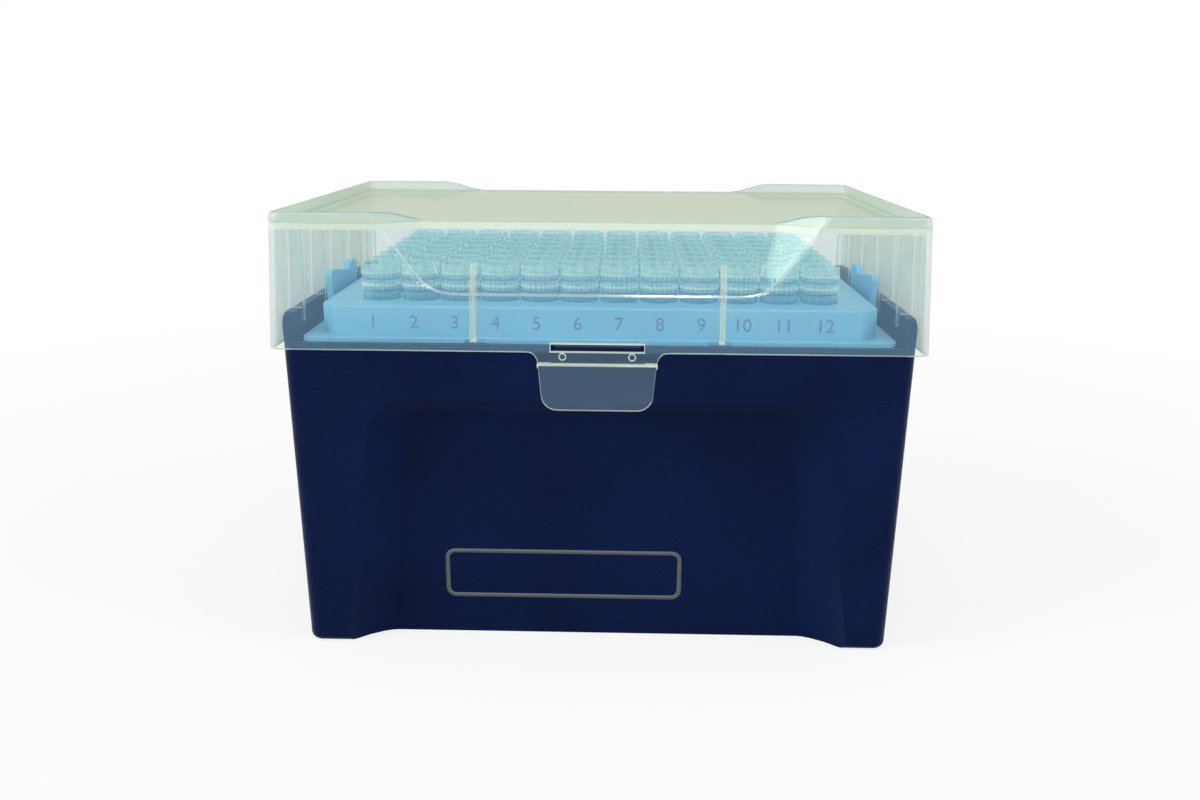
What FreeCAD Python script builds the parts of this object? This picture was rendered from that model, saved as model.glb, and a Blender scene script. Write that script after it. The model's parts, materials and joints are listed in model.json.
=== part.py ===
import FreeCAD, Part
import math
import os

# A hinged box of pipette tips, in millimetres.
# X runs to the right along the long side, Y runs from the latch to the hinge, Z runs up.
# The origin is the middle of the flat underside.
# The tip grid sets the rack, the rack sets the base, and the base sets the lid.

# ---------------------------------------------------------------- tip grid
PITCH = 9.0                  # centre to centre, both ways
COLUMNS = 12
ROWS = 8

# ---------------------------------------------------------------- tips
TIP_LENGTH = 80.0
TIP_COLLAR = 8.0             # collar height above the rack
TIP_GAP = 0.3                # between the beads of neighbouring tips
TIP_BEAD_PROUD = 0.1         # beads stand out from the collar by this
TIP_BEAD_FEET = (3.1, 5.85)  # two beads round the collar, above the rack
TIP_BEAD_WIDTH = 0.4
TIP_GROOVE_DEPTH = 0.3
TIP_GROOVE_FEET = (1.75, 4.45)   # two grooves round the collar, above the rack
TIP_GROOVE_WIDTH = 0.55
TIP_FOOT_BAND_STEP = 0.13    # band at the collar's foot, inside the collar's face
TIP_NECK_STEP = 0.55         # body just below the collar, inside the collar's face
TIP_WAIST_R = 3.05
TIP_WAIST_DROP = 30.0        # below the rack's top
TIP_SHANK_R = 0.95
TIP_SHANK_DROP = 62.0
TIP_END_R = 0.50
TIP_WALL = 0.45
TIP_END_WALL = 0.22
TIP_RIM_WALL = 0.5           # collar's wall round the socket for the pipette's cone
TIP_MOUTH_DEPTH = 2.4
TIP_HOLE_CLEARANCE = 0.2
TIP_FLOOR_GAP = 6.6          # tips' ends above the base's floor

# ---------------------------------------------------------------- rack
RACK_MARGIN_X = 11.9         # outer tip centres to the raised block's ends
RACK_MARGIN_Y = 10.1         # outer tip centres to the raised block's front and rear
RACK_CHAMFER = 3.9
RACK_RISE = 7.6              # block's top above the rim
RACK_WALL = 1.6
RACK_PLATE = 2.0
RACK_EDGE_R = 0.6
FLANGE_WIDTH_X = 3.6         # flange past the raised block
FLANGE_WIDTH_Y = 2.9
FLANGE_CORNER_R = 3.0
FLANGE_THICKNESS = 0.8
SKIRT_DROP = 6.0             # locating skirt below the flange
SKIRT_WALL = 1.2
SKIRT_CLEARANCE = 0.5
RACK_RIB_DEPTH = 5.0
RACK_RIB_WIDTH = 0.8
RACK_RIB_STEPS_X = (-4, -2, 0, 2, 4)   # rib places, in pitches from the middle
RACK_RIB_STEPS_Y = (-2, 0, 2)
NOTCH_WIDTH = 4.8            # in the flange's edge, beside the lid's ribs
NOTCH_DEPTH = 0.7
TAB_THICKNESS = 1.4          # lifting tabs at the ends
TAB_FRONT_REACH = 20.9       # front end ahead of the rack's middle
TAB_CREST_REACH = 1.2        # front of the crest ahead of the rack's middle
TAB_REAR_REACH = 3.2         # rear end behind the rack's middle
TAB_STEP_RUN = 3.7           # from the shoulder up to the crest
TAB_SHOULDER_RISE = 11.4     # above the flange, at the front end
TAB_CREST_RISE = 11.1        # above the flange, at the front of the crest
TAB_TOP_FALL = 8.0           # degrees, shoulder and crest both fall towards the rear
TAB_CORNER_R = 1.6
TAB_STEP_R = 0.6
TAB_REAR_R = 0.8

# ---------------------------------------------------------------- base
BASE_WALL = 1.9
BASE_FLOOR = 2.0
RACK_END_GAP = 2.05          # rack's flange to the inside of the end walls
RIM_MARGIN_Y = 1.5           # front and rear walls' outside past the rack's flange, at the rim
BASE_DRAFT_X = 0.75          # degrees, end walls
BASE_DRAFT_Y = 2.1           # degrees, front and rear walls
BASE_CORNER_R = 3.0
BASE_FOOT_R = 1.8            # rounding round the underside
EAR_RISE = 5.8               # end walls stand this far above the rim
EAR_END_GAP = 1.7            # ear's end to the outside of the front wall
EAR_CORNER_R = 4.2
LEDGE_REACH = 3.6            # ledge inside each end wall that carries the rack
LEDGE_DEPTH = 1.2
LEDGE_END_GAP = 3.6          # ledge's ends to the rack block's front and rear

# ---------------------------------------------------------------- grip recesses, front and rear
RECESS_DEPTH = 6.75
RECESS_TOP_DROP = 12.5       # top of the mouth below the rim
RECESS_FOOT_WIDTH = 9.4      # foot left on each side of the mouth, at the underside
RECESS_TOP_HALF = 50.3       # half width of the mouth at its top
RECESS_CORNER_R = 9.5
RECESS_FLARE_FOOT = 10.6     # mouth to floor, at the underside
RECESS_FLARE_TOP = 6.5       # mouth to floor, at the top corners
RECESS_FLARE_UP = 4.8        # mouth to floor, along the top edge
RECESS_FLOOR_CORNER_R = 5.0
# Share of the depth against share of the flare: a soft S from the face to the floor.
RECESS_PROFILE = ((0.0, 0.0), (0.18, 0.10), (0.60, 0.42), (0.86, 0.70), (0.97, 0.88), (1.0, 1.0))

# ---------------------------------------------------------------- lid
LID_WALL = 1.2
LID_END_GAP = 0.85           # base's end walls to the inside of the lid, at its lower edge
LID_SIDE_GAP = 1.84          # base's front and rear walls to the inside of the lid, there too
LID_OVERLAP = 0.9            # lid's lower edge below the base's rim
LID_HEADROOM = 9.1           # tips' tops to the inside of the roof
LID_DRAFT = 2.5              # degrees, all four walls
LID_CORNER_R = 2.8
LID_TOP_R = 0.8
CURB_RISE = 2.3              # curb round each end of the roof, which holds the foot of a box stacked above
CURB_FULL_X = 47.8           # at its full height from here outwards
CURB_END_X = 34.8            # down to the roof here
LID_REST_GAP = 0.1           # ribs to the top of the ears

# ---------------------------------------------------------------- lid's front scoop
SCOOP_HEIGHT = 14.5          # lower edge, on the front wall, below the roof
SCOOP_SET_BACK = 6.4         # how far back it meets the roof
SCOOP_FOOT_HALF = 33.0
SCOOP_MOUTH_HALF = 45.6      # at roof height, on the front wall
SCOOP_FLOOR_HALF = 37.8      # at roof height, at the back of the scoop
SCOOP_CORNER_R = 9.0

# ---------------------------------------------------------------- lid's inner ribs
FRONT_RIB_X = 26.6
FRONT_RIB_WIDTH = 1.2
FRONT_RIB_REACH = 3.4        # inwards from the wall's inner face, at the foot
FRONT_RIB_GAP = 0.3          # rib's foot to the rack's flange
END_RIB_PITCH = 18.0
END_RIB_COUNT = 5
END_RIB_WIDTH = 1.1
END_RIB_GAP = 1.0            # rib's inner edge to the rack's lifting tab
TOOTH_DROP = 2.7             # tooth below the top of the ear
TOOTH_GAP = 0.35             # tooth to the inside of the ear
TOOTH_R = 0.2
RIB_SEAT_R = 0.3

# ---------------------------------------------------------------- latch
TONGUE_HALF_FOOT = 12.7      # half width at the crease
TONGUE_HALF_TOP = 13.7       # half width at the lid's lower edge
TONGUE_FILLET_R = 2.0
TONGUE_ROOT = 1.0            # tongue runs this far up inside the lid's front wall
CREASE_DROP = 2.95           # crease below the lid's lower edge
CREASE_GAP = 0.05
CREASE_OVERHANG = 0.25       # crease bead past the sides
FLAP_DROP = 12.7             # flap's lower edge below the lid's lower edge
FLAP_HALF_FOOT = 11.8
FLAP_CORNER_R = 3.5
SLOT_HALF = 10.05            # window over the catch
SLOT_RISE = 0.2              # above the lid's lower edge
SLOT_HEIGHT = 1.6
PIP_X = 7.45                 # two small ring marks under the window
PIP_DROP = 0.85
PIP_R = 0.9
PIP_DIMPLE_R = 0.55
PIP_HEIGHT = 0.25
CATCH_HALF = 9.3             # ridge on the base
CATCH_HEIGHT = 1.4
CATCH_GAP = 0.25             # ridge to the inside of the lid
CATCH_NOSE_R = 0.3
CATCH_TOP_R = 0.5

# ---------------------------------------------------------------- hinge
HINGE_X = 40.0               # middle of each hinge
HINGE_DROP = 2.0             # axis below the base's rim
HINGE_STAND_OFF = 3.4        # axis behind the lid's rear wall
PIN_R = 1.5
PIN_CLEARANCE = 0.05
BARREL_R = 2.5
BARREL_HALF = 4.0            # lid's knuckle
KNUCKLE_GAP = 0.3
CHEEK_THICKNESS = 2.4        # base's cheeks, each side of the knuckle
CHEEK_R = 2.9
CHEEK_DROP = 9.0
CHEEK_LID_GAP = 1.0          # cheek's arm below the lid's lower edge
WEB_RISE = 6.0               # knuckle's web up the lid's rear wall
WEB_FOOT = 0.2               # web's foot above the lid's lower edge

# ---------------------------------------------------------------- worked out: heights
RIM_Z = BASE_FLOOR + TIP_FLOOR_GAP + TIP_LENGTH - TIP_COLLAR - RACK_RISE
EAR_TOP_Z = RIM_Z + EAR_RISE
RACK_TOP_Z = RIM_Z + RACK_RISE
FLANGE_TOP_Z = RIM_Z + FLANGE_THICKNESS
RECESS_TOP_Z = RIM_Z - RECESS_TOP_DROP
TIP_TOP_Z = RACK_TOP_Z + TIP_COLLAR
LID_FOOT_Z = RIM_Z - LID_OVERLAP
LID_ROOF_Z = TIP_TOP_Z + LID_HEADROOM + LID_WALL
CURB_TOP_Z = LID_ROOF_Z + CURB_RISE
SCOOP_FOOT_Z = LID_ROOF_Z - SCOOP_HEIGHT
HINGE_Z = RIM_Z - HINGE_DROP

# ---------------------------------------------------------------- worked out: across
TIP_BEAD_R = (PITCH - TIP_GAP) / 2.0
TIP_COLLAR_R = TIP_BEAD_R - TIP_BEAD_PROUD
TIP_GROOVE_R = TIP_COLLAR_R - TIP_GROOVE_DEPTH
TIP_FOOT_BAND_R = TIP_COLLAR_R - TIP_FOOT_BAND_STEP
TIP_NECK_R = TIP_COLLAR_R - TIP_NECK_STEP
TIP_MOUTH_R = TIP_COLLAR_R - TIP_RIM_WALL
RACK_HALF_X = (COLUMNS - 1) / 2.0 * PITCH + RACK_MARGIN_X
RACK_HALF_Y = (ROWS - 1) / 2.0 * PITCH + RACK_MARGIN_Y
FLANGE_HALF_X = RACK_HALF_X + FLANGE_WIDTH_X
FLANGE_HALF_Y = RACK_HALF_Y + FLANGE_WIDTH_Y
EAR_INNER_X = FLANGE_HALF_X + RACK_END_GAP
RIM_HALF_X = EAR_INNER_X + BASE_WALL
RIM_HALF_Y = FLANGE_HALF_Y + RIM_MARGIN_Y
LEDGE_HALF_Y = RACK_HALF_Y - LEDGE_END_GAP
END_RIB_X = FLANGE_HALF_X + END_RIB_GAP
REACH = 3.0 * RIM_HALF_X     # longer than the whole part, for cutters
PAST = 1.0                   # how far a cutter runs past the face that it cuts


def tangent(degrees):
    return math.tan(math.radians(degrees))


def base_half_x(z):
    return RIM_HALF_X + (z - RIM_Z) * tangent(BASE_DRAFT_X)


def base_half_y(z):
    return RIM_HALF_Y + (z - RIM_Z) * tangent(BASE_DRAFT_Y)


LID_HALF_X = base_half_x(LID_FOOT_Z) + LID_END_GAP + LID_WALL
LID_HALF_Y = base_half_y(LID_FOOT_Z) + LID_SIDE_GAP + LID_WALL
RECESS_FOOT_HALF = base_half_x(0.0) - RECESS_FOOT_WIDTH
HINGE_Y = LID_HALF_Y + HINGE_STAND_OFF
CREASE_R = LID_WALL / 2.0


def lid_half_x(z):
    return LID_HALF_X - (z - LID_FOOT_Z) * tangent(LID_DRAFT)


def lid_half_y(z):
    return LID_HALF_Y - (z - LID_FOOT_Z) * tangent(LID_DRAFT)


# ---------------------------------------------------------------- shared geometry
def flat(u, v):
    return FreeCAD.Vector(u, v, 0)


def upright_xz(y):
    return lambda u, v: FreeCAD.Vector(u, y, v)


def upright_yz(x):
    return lambda u, v: FreeCAD.Vector(x, u, v)


def level(z):
    return lambda u, v: FreeCAD.Vector(u, v, z)


def rounded_wire(corners, place):
    """Closed wire through corners (u, v, radius), each rounded by an arc tangent to its sides."""
    count = len(corners)
    starts, middles, ends = [], [], []
    for index, (u, v, radius) in enumerate(corners):
        here = flat(u, v)
        before = flat(*corners[index - 1][:2]) - here
        after = flat(*corners[(index + 1) % count][:2]) - here
        before.normalize()
        after.normalize()
        half_angle = before.getAngle(after) / 2.0
        run = radius / math.tan(half_angle)
        bisector = before + after
        if radius > 0:
            bisector.normalize()
            middle = here + bisector * (radius / math.sin(half_angle) - radius)
        else:
            middle = here
        starts.append(here + before * run)
        middles.append(middle)
        ends.append(here + after * run)
    edges = []
    for index in range(count):
        if corners[index][2] > 0:
            points = [place(p.x, p.y) for p in (starts[index], middles[index], ends[index])]
            edges.append(Part.Arc(*points).toShape())
        leave = ends[index]
        reach = starts[(index + 1) % count]
        if leave.distanceToPoint(reach) > 1e-6:
            edges.append(Part.LineSegment(place(leave.x, leave.y), place(reach.x, reach.y)).toShape())
    return Part.Wire(edges)


def rectangle(half_u, half_v, radius):
    return [(-half_u, -half_v, radius), (half_u, -half_v, radius),
            (half_u, half_v, radius), (-half_u, half_v, radius)]


def prism(corners, place, direction):
    """Solid made by moving a rounded outline along a direction."""
    return Part.Face(rounded_wire(corners, place)).extrude(direction)


def box(x0, x1, y0, y1, z0, z1):
    return Part.makeBox(x1 - x0, y1 - y0, z1 - z0, FreeCAD.Vector(x0, y0, z0))


def rod_x(x0, x1, y, z, radius):
    """Round bar along X."""
    return Part.makeCylinder(radius, x1 - x0, FreeCAD.Vector(x0, y, z), FreeCAD.Vector(1, 0, 0))


def fuse_all(first, others):
    return first.multiFuse(others).removeSplitter()


def mirrored_x(shape):
    return shape.mirror(FreeCAD.Vector(0, 0, 0), FreeCAD.Vector(1, 0, 0))


def mirrored_y(shape):
    return shape.mirror(FreeCAD.Vector(0, 0, 0), FreeCAD.Vector(0, 1, 0))


def edges_at_height(shape, z):
    """Edges that lie wholly at height z."""
    found = []
    for edge in shape.Edges:
        bounds = edge.BoundBox
        if abs(bounds.ZMin - z) < 1e-4 and abs(bounds.ZMax - z) < 1e-4:
            found.append(edge)
    return found


# ---------------------------------------------------------------- base
def base_block(inset, z0, z1, corner_r):
    """Tapered block of the base's outer form, moved inwards by inset."""
    sections = []
    for z in (z0, z1):
        outline = rectangle(base_half_x(z) - inset, base_half_y(z) - inset, corner_r)
        sections.append(rounded_wire(outline, level(z)))
    return Part.makeLoft(sections, True, True)


def recess_outline(share, grow):
    """Recess outline a share of the way from its mouth to its floor, made larger by grow."""
    foot = RECESS_FOOT_HALF - share * RECESS_FLARE_FOOT + grow
    top_half = RECESS_TOP_HALF - share * RECESS_FLARE_TOP + grow
    top = RECESS_TOP_Z - share * RECESS_FLARE_UP + grow
    radius = RECESS_CORNER_R + share * (RECESS_FLOOR_CORNER_R - RECESS_CORNER_R) + grow
    lean = (foot - top_half) / top
    below = 2.0 * RECESS_DEPTH
    wide = foot + lean * below
    return [(-wide, -below, 0), (wide, -below, 0), (top_half, top, radius), (-top_half, top, radius)]


def recess_cutter(grow):
    """Body that forms one grip recess; grow moves all its faces into the wall."""
    sections = []
    outside = -2.0 * BASE_WALL - grow
    for depth, share in ((outside, RECESS_PROFILE[0][1]),) + RECESS_PROFILE:
        if depth >= 0:
            depth = depth * RECESS_DEPTH + grow
        sections.append(rounded_wire(recess_outline(share, grow), upright_xz(depth)))
    cutter = Part.makeLoft(sections, True, True)
    cutter.rotate(FreeCAD.Vector(0, 0, 0), FreeCAD.Vector(1, 0, 0), BASE_DRAFT_Y)
    cutter.translate(FreeCAD.Vector(0, -base_half_y(0.0), 0))
    return cutter


def ear_prism():
    """Outline of the raised end walls, seen from the end, carried right across the base."""
    half = base_half_y(RIM_Z) - EAR_END_GAP
    outline = [(-half, RIM_Z, 0), (half, RIM_Z, 0),
               (half, EAR_TOP_Z, EAR_CORNER_R), (-half, EAR_TOP_Z, EAR_CORNER_R)]
    return prism(outline, upright_yz(-REACH), FreeCAD.Vector(2.0 * REACH, 0, 0))


def end_ledge():
    """Ledge along the inside of the right-hand end wall."""
    outer = EAR_INNER_X + BASE_WALL / 2.0
    inner = EAR_INNER_X - LEDGE_REACH
    slope_foot = RIM_Z - LEDGE_DEPTH - (outer - inner)
    outline = [(outer, RIM_Z, 0), (inner, RIM_Z, 0), (inner, RIM_Z - LEDGE_DEPTH, 0), (outer, slope_foot, 0)]
    return prism(outline, upright_xz(-LEDGE_HALF_Y), FreeCAD.Vector(0, 2.0 * LEDGE_HALF_Y, 0))


def hinge_cheek(x0):
    """One cheek of the base's hinge, from its rear wall to the pin's socket."""
    wall_y = base_half_y(HINGE_Z) - BASE_WALL / 2.0
    arm_top = min(HINGE_Z, LID_FOOT_Z - CHEEK_LID_GAP)
    outline = [(wall_y, arm_top, 0), (wall_y, HINGE_Z - CHEEK_DROP, 0),
               (HINGE_Y, HINGE_Z - CHEEK_R, 0), (HINGE_Y, arm_top, 0)]
    plate = prism(outline, upright_yz(x0), FreeCAD.Vector(CHEEK_THICKNESS, 0, 0))
    plate = plate.fuse(rod_x(x0, x0 + CHEEK_THICKNESS, HINGE_Y, HINGE_Z, CHEEK_R))
    return plate.cut(rod_x(x0 - PAST, x0 + CHEEK_THICKNESS + PAST, HINGE_Y, HINGE_Z, PIN_R + PIN_CLEARANCE))


def cheek_starts():
    """Left face of each of the four cheeks."""
    inner = BARREL_HALF + KNUCKLE_GAP
    starts = []
    for middle in (-HINGE_X, HINGE_X):
        starts.append(middle - inner - CHEEK_THICKNESS)
        starts.append(middle + inner)
    return starts


def catch_ridge():
    """Ridge at the top of the base's front wall, just behind the lid's window."""
    nose = -(lid_half_y(RIM_Z) - LID_WALL - CATCH_GAP)
    root = -(base_half_y(RIM_Z) - BASE_WALL / 2.0)
    outline = [(root, RIM_Z, 0), (root, RIM_Z - CATCH_HEIGHT - (root - nose), 0),
               (nose, RIM_Z - CATCH_HEIGHT, CATCH_NOSE_R), (nose, RIM_Z, CATCH_TOP_R)]
    return prism(outline, upright_yz(-CATCH_HALF), FreeCAD.Vector(2.0 * CATCH_HALF, 0, 0))


def build_base():
    outer = base_block(0.0, 0.0, EAR_TOP_Z + PAST, BASE_CORNER_R)
    outer = outer.makeFillet(BASE_FOOT_R, edges_at_height(outer, 0.0))
    front_recess = recess_cutter(0.0)
    front_bulge = recess_cutter(BASE_WALL)
    cavity = base_block(BASE_WALL, BASE_FLOOR, EAR_TOP_Z + 2.0 * PAST, BASE_CORNER_R - BASE_WALL)
    cavity = cavity.cut(front_bulge).cut(mirrored_y(front_bulge))
    shell = outer.cut(front_recess).cut(mirrored_y(front_recess)).cut(cavity)
    above = box(-REACH, REACH, -REACH, REACH, RIM_Z, REACH)
    end_slab = box(EAR_INNER_X, REACH, -REACH, REACH, RIM_Z, REACH)
    ears = ear_prism().common(Part.makeCompound([end_slab, mirrored_x(end_slab)]))
    shell = shell.cut(above.cut(ears))
    ledge = end_ledge()
    additions = [ledge, mirrored_x(ledge), catch_ridge()]
    additions += [hinge_cheek(x0) for x0 in cheek_starts()]
    return fuse_all(shell, additions)


# ---------------------------------------------------------------- rack
def rack_block(inset, z0, z1):
    """Raised block with its four corners cut off, moved inwards by inset."""
    half_x = RACK_HALF_X - inset
    half_y = RACK_HALF_Y - inset
    cut = RACK_CHAMFER - inset * (2.0 - math.sqrt(2.0))
    outline = [(half_x - cut, -half_y, 0), (half_x, cut - half_y, 0),
               (half_x, half_y - cut, 0), (half_x - cut, half_y, 0),
               (cut - half_x, half_y, 0), (-half_x, half_y - cut, 0),
               (-half_x, cut - half_y, 0), (cut - half_x, -half_y, 0)]
    return prism(outline, level(z0), FreeCAD.Vector(0, 0, z1 - z0))


def slab(half_x, half_y, radius, z0, z1):
    """Level slab with rounded corners."""
    return prism(rectangle(half_x, half_y, radius), level(z0), FreeCAD.Vector(0, 0, z1 - z0))


def grid_places():
    """Centre of each tip, column by column from the left, front to rear."""
    places = []
    for column in range(COLUMNS):
        x = (column - (COLUMNS - 1) / 2.0) * PITCH
        places.append([(x, (row - (ROWS - 1) / 2.0) * PITCH) for row in range(ROWS)])
    return places


def rack_ribs():
    """Stiffening ribs below the plate, on lines midway between tips."""
    top = RACK_TOP_Z - RACK_PLATE / 2.0
    foot = RACK_TOP_Z - RACK_PLATE - RACK_RIB_DEPTH
    half = RACK_RIB_WIDTH / 2.0
    end_x = RACK_HALF_X - RACK_WALL / 2.0
    end_y = RACK_HALF_Y - RACK_WALL / 2.0
    ribs = []
    for step in RACK_RIB_STEPS_X:
        ribs.append(box(step * PITCH - half, step * PITCH + half, -end_y, end_y, foot, top))
    for step in RACK_RIB_STEPS_Y:
        ribs.append(box(-end_x, end_x, step * PITCH - half, step * PITCH + half, foot, top))
    return ribs


def lifting_tab():
    """Tab on the right-hand end of the flange: a long shoulder in front, then a short crest."""
    fall = tangent(TAB_TOP_FALL)
    shoulder = FLANGE_TOP_Z + TAB_SHOULDER_RISE
    crest = FLANGE_TOP_Z + TAB_CREST_RISE
    step_foot = -TAB_CREST_REACH - TAB_STEP_RUN
    step_foot_z = shoulder - fall * (TAB_FRONT_REACH + step_foot)
    rear_z = crest - fall * (TAB_CREST_REACH + TAB_REAR_REACH)
    foot = FLANGE_TOP_Z - FLANGE_THICKNESS / 2.0
    outline = [(-TAB_FRONT_REACH, foot, 0), (TAB_REAR_REACH, foot, 0), (TAB_REAR_REACH, rear_z, TAB_REAR_R),
               (-TAB_CREST_REACH, crest, TAB_STEP_R), (step_foot, step_foot_z, TAB_STEP_R),
               (-TAB_FRONT_REACH, shoulder, TAB_CORNER_R)]
    inner = FLANGE_HALF_X - TAB_THICKNESS
    return prism(outline, upright_yz(inner), FreeCAD.Vector(TAB_THICKNESS, 0, 0))


def build_rack():
    block = rack_block(0.0, RIM_Z, RACK_TOP_Z)
    block = block.makeFillet(RACK_EDGE_R, edges_at_height(block, RACK_TOP_Z))
    flange = slab(FLANGE_HALF_X, FLANGE_HALF_Y, FLANGE_CORNER_R, RIM_Z, FLANGE_TOP_Z)
    for side in (-1, 1):
        for x in (-FRONT_RIB_X, FRONT_RIB_X):
            edge = side * FLANGE_HALF_Y
            half = NOTCH_WIDTH / 2.0
            flange = flange.cut(box(x - half, x + half, edge - NOTCH_DEPTH, edge + NOTCH_DEPTH,
                                    RIM_Z - PAST, FLANGE_TOP_Z + PAST))
    skirt_x = EAR_INNER_X - LEDGE_REACH - SKIRT_CLEARANCE
    skirt_y = base_half_y(RIM_Z - SKIRT_DROP) - BASE_WALL - SKIRT_CLEARANCE
    skirt = slab(skirt_x, skirt_y, FLANGE_CORNER_R, RIM_Z - SKIRT_DROP, RIM_Z + FLANGE_THICKNESS / 2.0)
    skirt = skirt.cut(slab(skirt_x - SKIRT_WALL, skirt_y - SKIRT_WALL, FLANGE_CORNER_R - SKIRT_WALL,
                           RIM_Z - 2.0 * SKIRT_DROP, RIM_Z))
    tab = lifting_tab()
    body = block.multiFuse([flange, skirt, tab, mirrored_x(tab)])
    body = body.cut(rack_block(RACK_WALL, RIM_Z - PAST, RACK_TOP_Z - RACK_PLATE))
    body = fuse_all(body, rack_ribs())
    holes = []
    for column in grid_places():
        for x, y in column:
            holes.append(Part.makeCylinder(TIP_NECK_R + TIP_HOLE_CLEARANCE, 2.0 * RACK_PLATE,
                                           FreeCAD.Vector(x, y, RACK_TOP_Z - 1.5 * RACK_PLATE)))
    return body.cut(Part.makeCompound(holes))


# ---------------------------------------------------------------- tips
def tip_profile():
    """Half section of one tip, as (radius, height above the rack)."""
    inner_neck = TIP_NECK_R - TIP_WALL
    outside = [
        (TIP_END_R, TIP_COLLAR - TIP_LENGTH),
        (TIP_SHANK_R, -TIP_SHANK_DROP),
        (TIP_WAIST_R, -TIP_WAIST_DROP),
        (TIP_NECK_R, 0.0),
        (TIP_FOOT_BAND_R, 0.0),
        (TIP_FOOT_BAND_R, TIP_GROOVE_FEET[0]),
    ]
    for groove_foot, bead_foot in zip(TIP_GROOVE_FEET, TIP_BEAD_FEET):
        if groove_foot > TIP_GROOVE_FEET[0]:
            outside.append((TIP_COLLAR_R, groove_foot))
        groove_top = groove_foot + TIP_GROOVE_WIDTH
        bead_top = bead_foot + TIP_BEAD_WIDTH
        outside += [(TIP_GROOVE_R, groove_foot), (TIP_GROOVE_R, groove_top), (TIP_COLLAR_R, groove_top)]
        outside += [(TIP_COLLAR_R, bead_foot), (TIP_BEAD_R, bead_foot)]
        outside += [(TIP_BEAD_R, bead_top), (TIP_COLLAR_R, bead_top)]
    inside = [
        (TIP_COLLAR_R, TIP_COLLAR),
        (TIP_MOUTH_R, TIP_COLLAR),
        (TIP_MOUTH_R, TIP_COLLAR - TIP_MOUTH_DEPTH),
        (inner_neck, 0.0),
        (TIP_WAIST_R - TIP_WALL, -TIP_WAIST_DROP),
        (TIP_SHANK_R - TIP_WALL, -TIP_SHANK_DROP),
        (TIP_END_R - TIP_END_WALL, TIP_COLLAR - TIP_LENGTH),
    ]
    return outside + inside


def build_tip():
    """One tip with its axis on Z and its collar seated at the rack's top."""
    points = [FreeCAD.Vector(r, 0, RACK_TOP_Z + z) for r, z in tip_profile()]
    face = Part.Face(Part.makePolygon(points + [points[0]]))
    return face.revolve(FreeCAD.Vector(0, 0, 0), FreeCAD.Vector(0, 0, 1), 360)


# ---------------------------------------------------------------- lid
def lid_block(inset, foot_z, top_z):
    """Tapered block between two heights, with the lid's outer walls moved inwards by inset."""
    sections = []
    for z in (foot_z, top_z):
        outline = rectangle(lid_half_x(z) - inset, lid_half_y(z) - inset, LID_CORNER_R - inset)
        sections.append(rounded_wire(outline, level(z)))
    return Part.makeLoft(sections, True, True)


def curb_cutter():
    """Body above the curb's top line: level at each end, an S down to the roof, and level between."""
    run = CURB_FULL_X - CURB_END_X
    radius = (run * run + CURB_RISE * CURB_RISE) / (4.0 * CURB_RISE)
    turn = math.asin(run / 2.0 / radius) / 2.0
    sink = radius * (1.0 - math.cos(turn))
    shift = radius * math.sin(turn)
    middle = FreeCAD.Vector((CURB_FULL_X + CURB_END_X) / 2.0, 0, (CURB_TOP_Z + LID_ROOF_Z) / 2.0)
    foot = FreeCAD.Vector(CURB_END_X, 0, LID_ROOF_Z)
    head = FreeCAD.Vector(CURB_FULL_X, 0, CURB_TOP_Z)
    lower = FreeCAD.Vector(CURB_END_X + shift, 0, LID_ROOF_Z + sink)
    upper = FreeCAD.Vector(CURB_FULL_X - shift, 0, CURB_TOP_Z - sink)
    above = CURB_TOP_Z + 3.0 * CURB_RISE
    corner = FreeCAD.Vector(CURB_FULL_X, 0, above)

    def left(point):
        return FreeCAD.Vector(-point.x, 0, point.z)

    edges = [
        Part.LineSegment(left(foot), foot).toShape(),
        Part.Arc(foot, lower, middle).toShape(),
        Part.Arc(middle, upper, head).toShape(),
        Part.LineSegment(head, corner).toShape(),
        Part.LineSegment(corner, left(corner)).toShape(),
        Part.LineSegment(left(corner), left(head)).toShape(),
        Part.Arc(left(head), left(upper), left(middle)).toShape(),
        Part.Arc(left(middle), left(lower), left(foot)).toShape(),
    ]
    cutter = Part.Face(Part.Wire(edges)).extrude(FreeCAD.Vector(0, 2.0 * REACH, 0))
    cutter.translate(FreeCAD.Vector(0, -REACH, 0))
    return cutter


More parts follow.
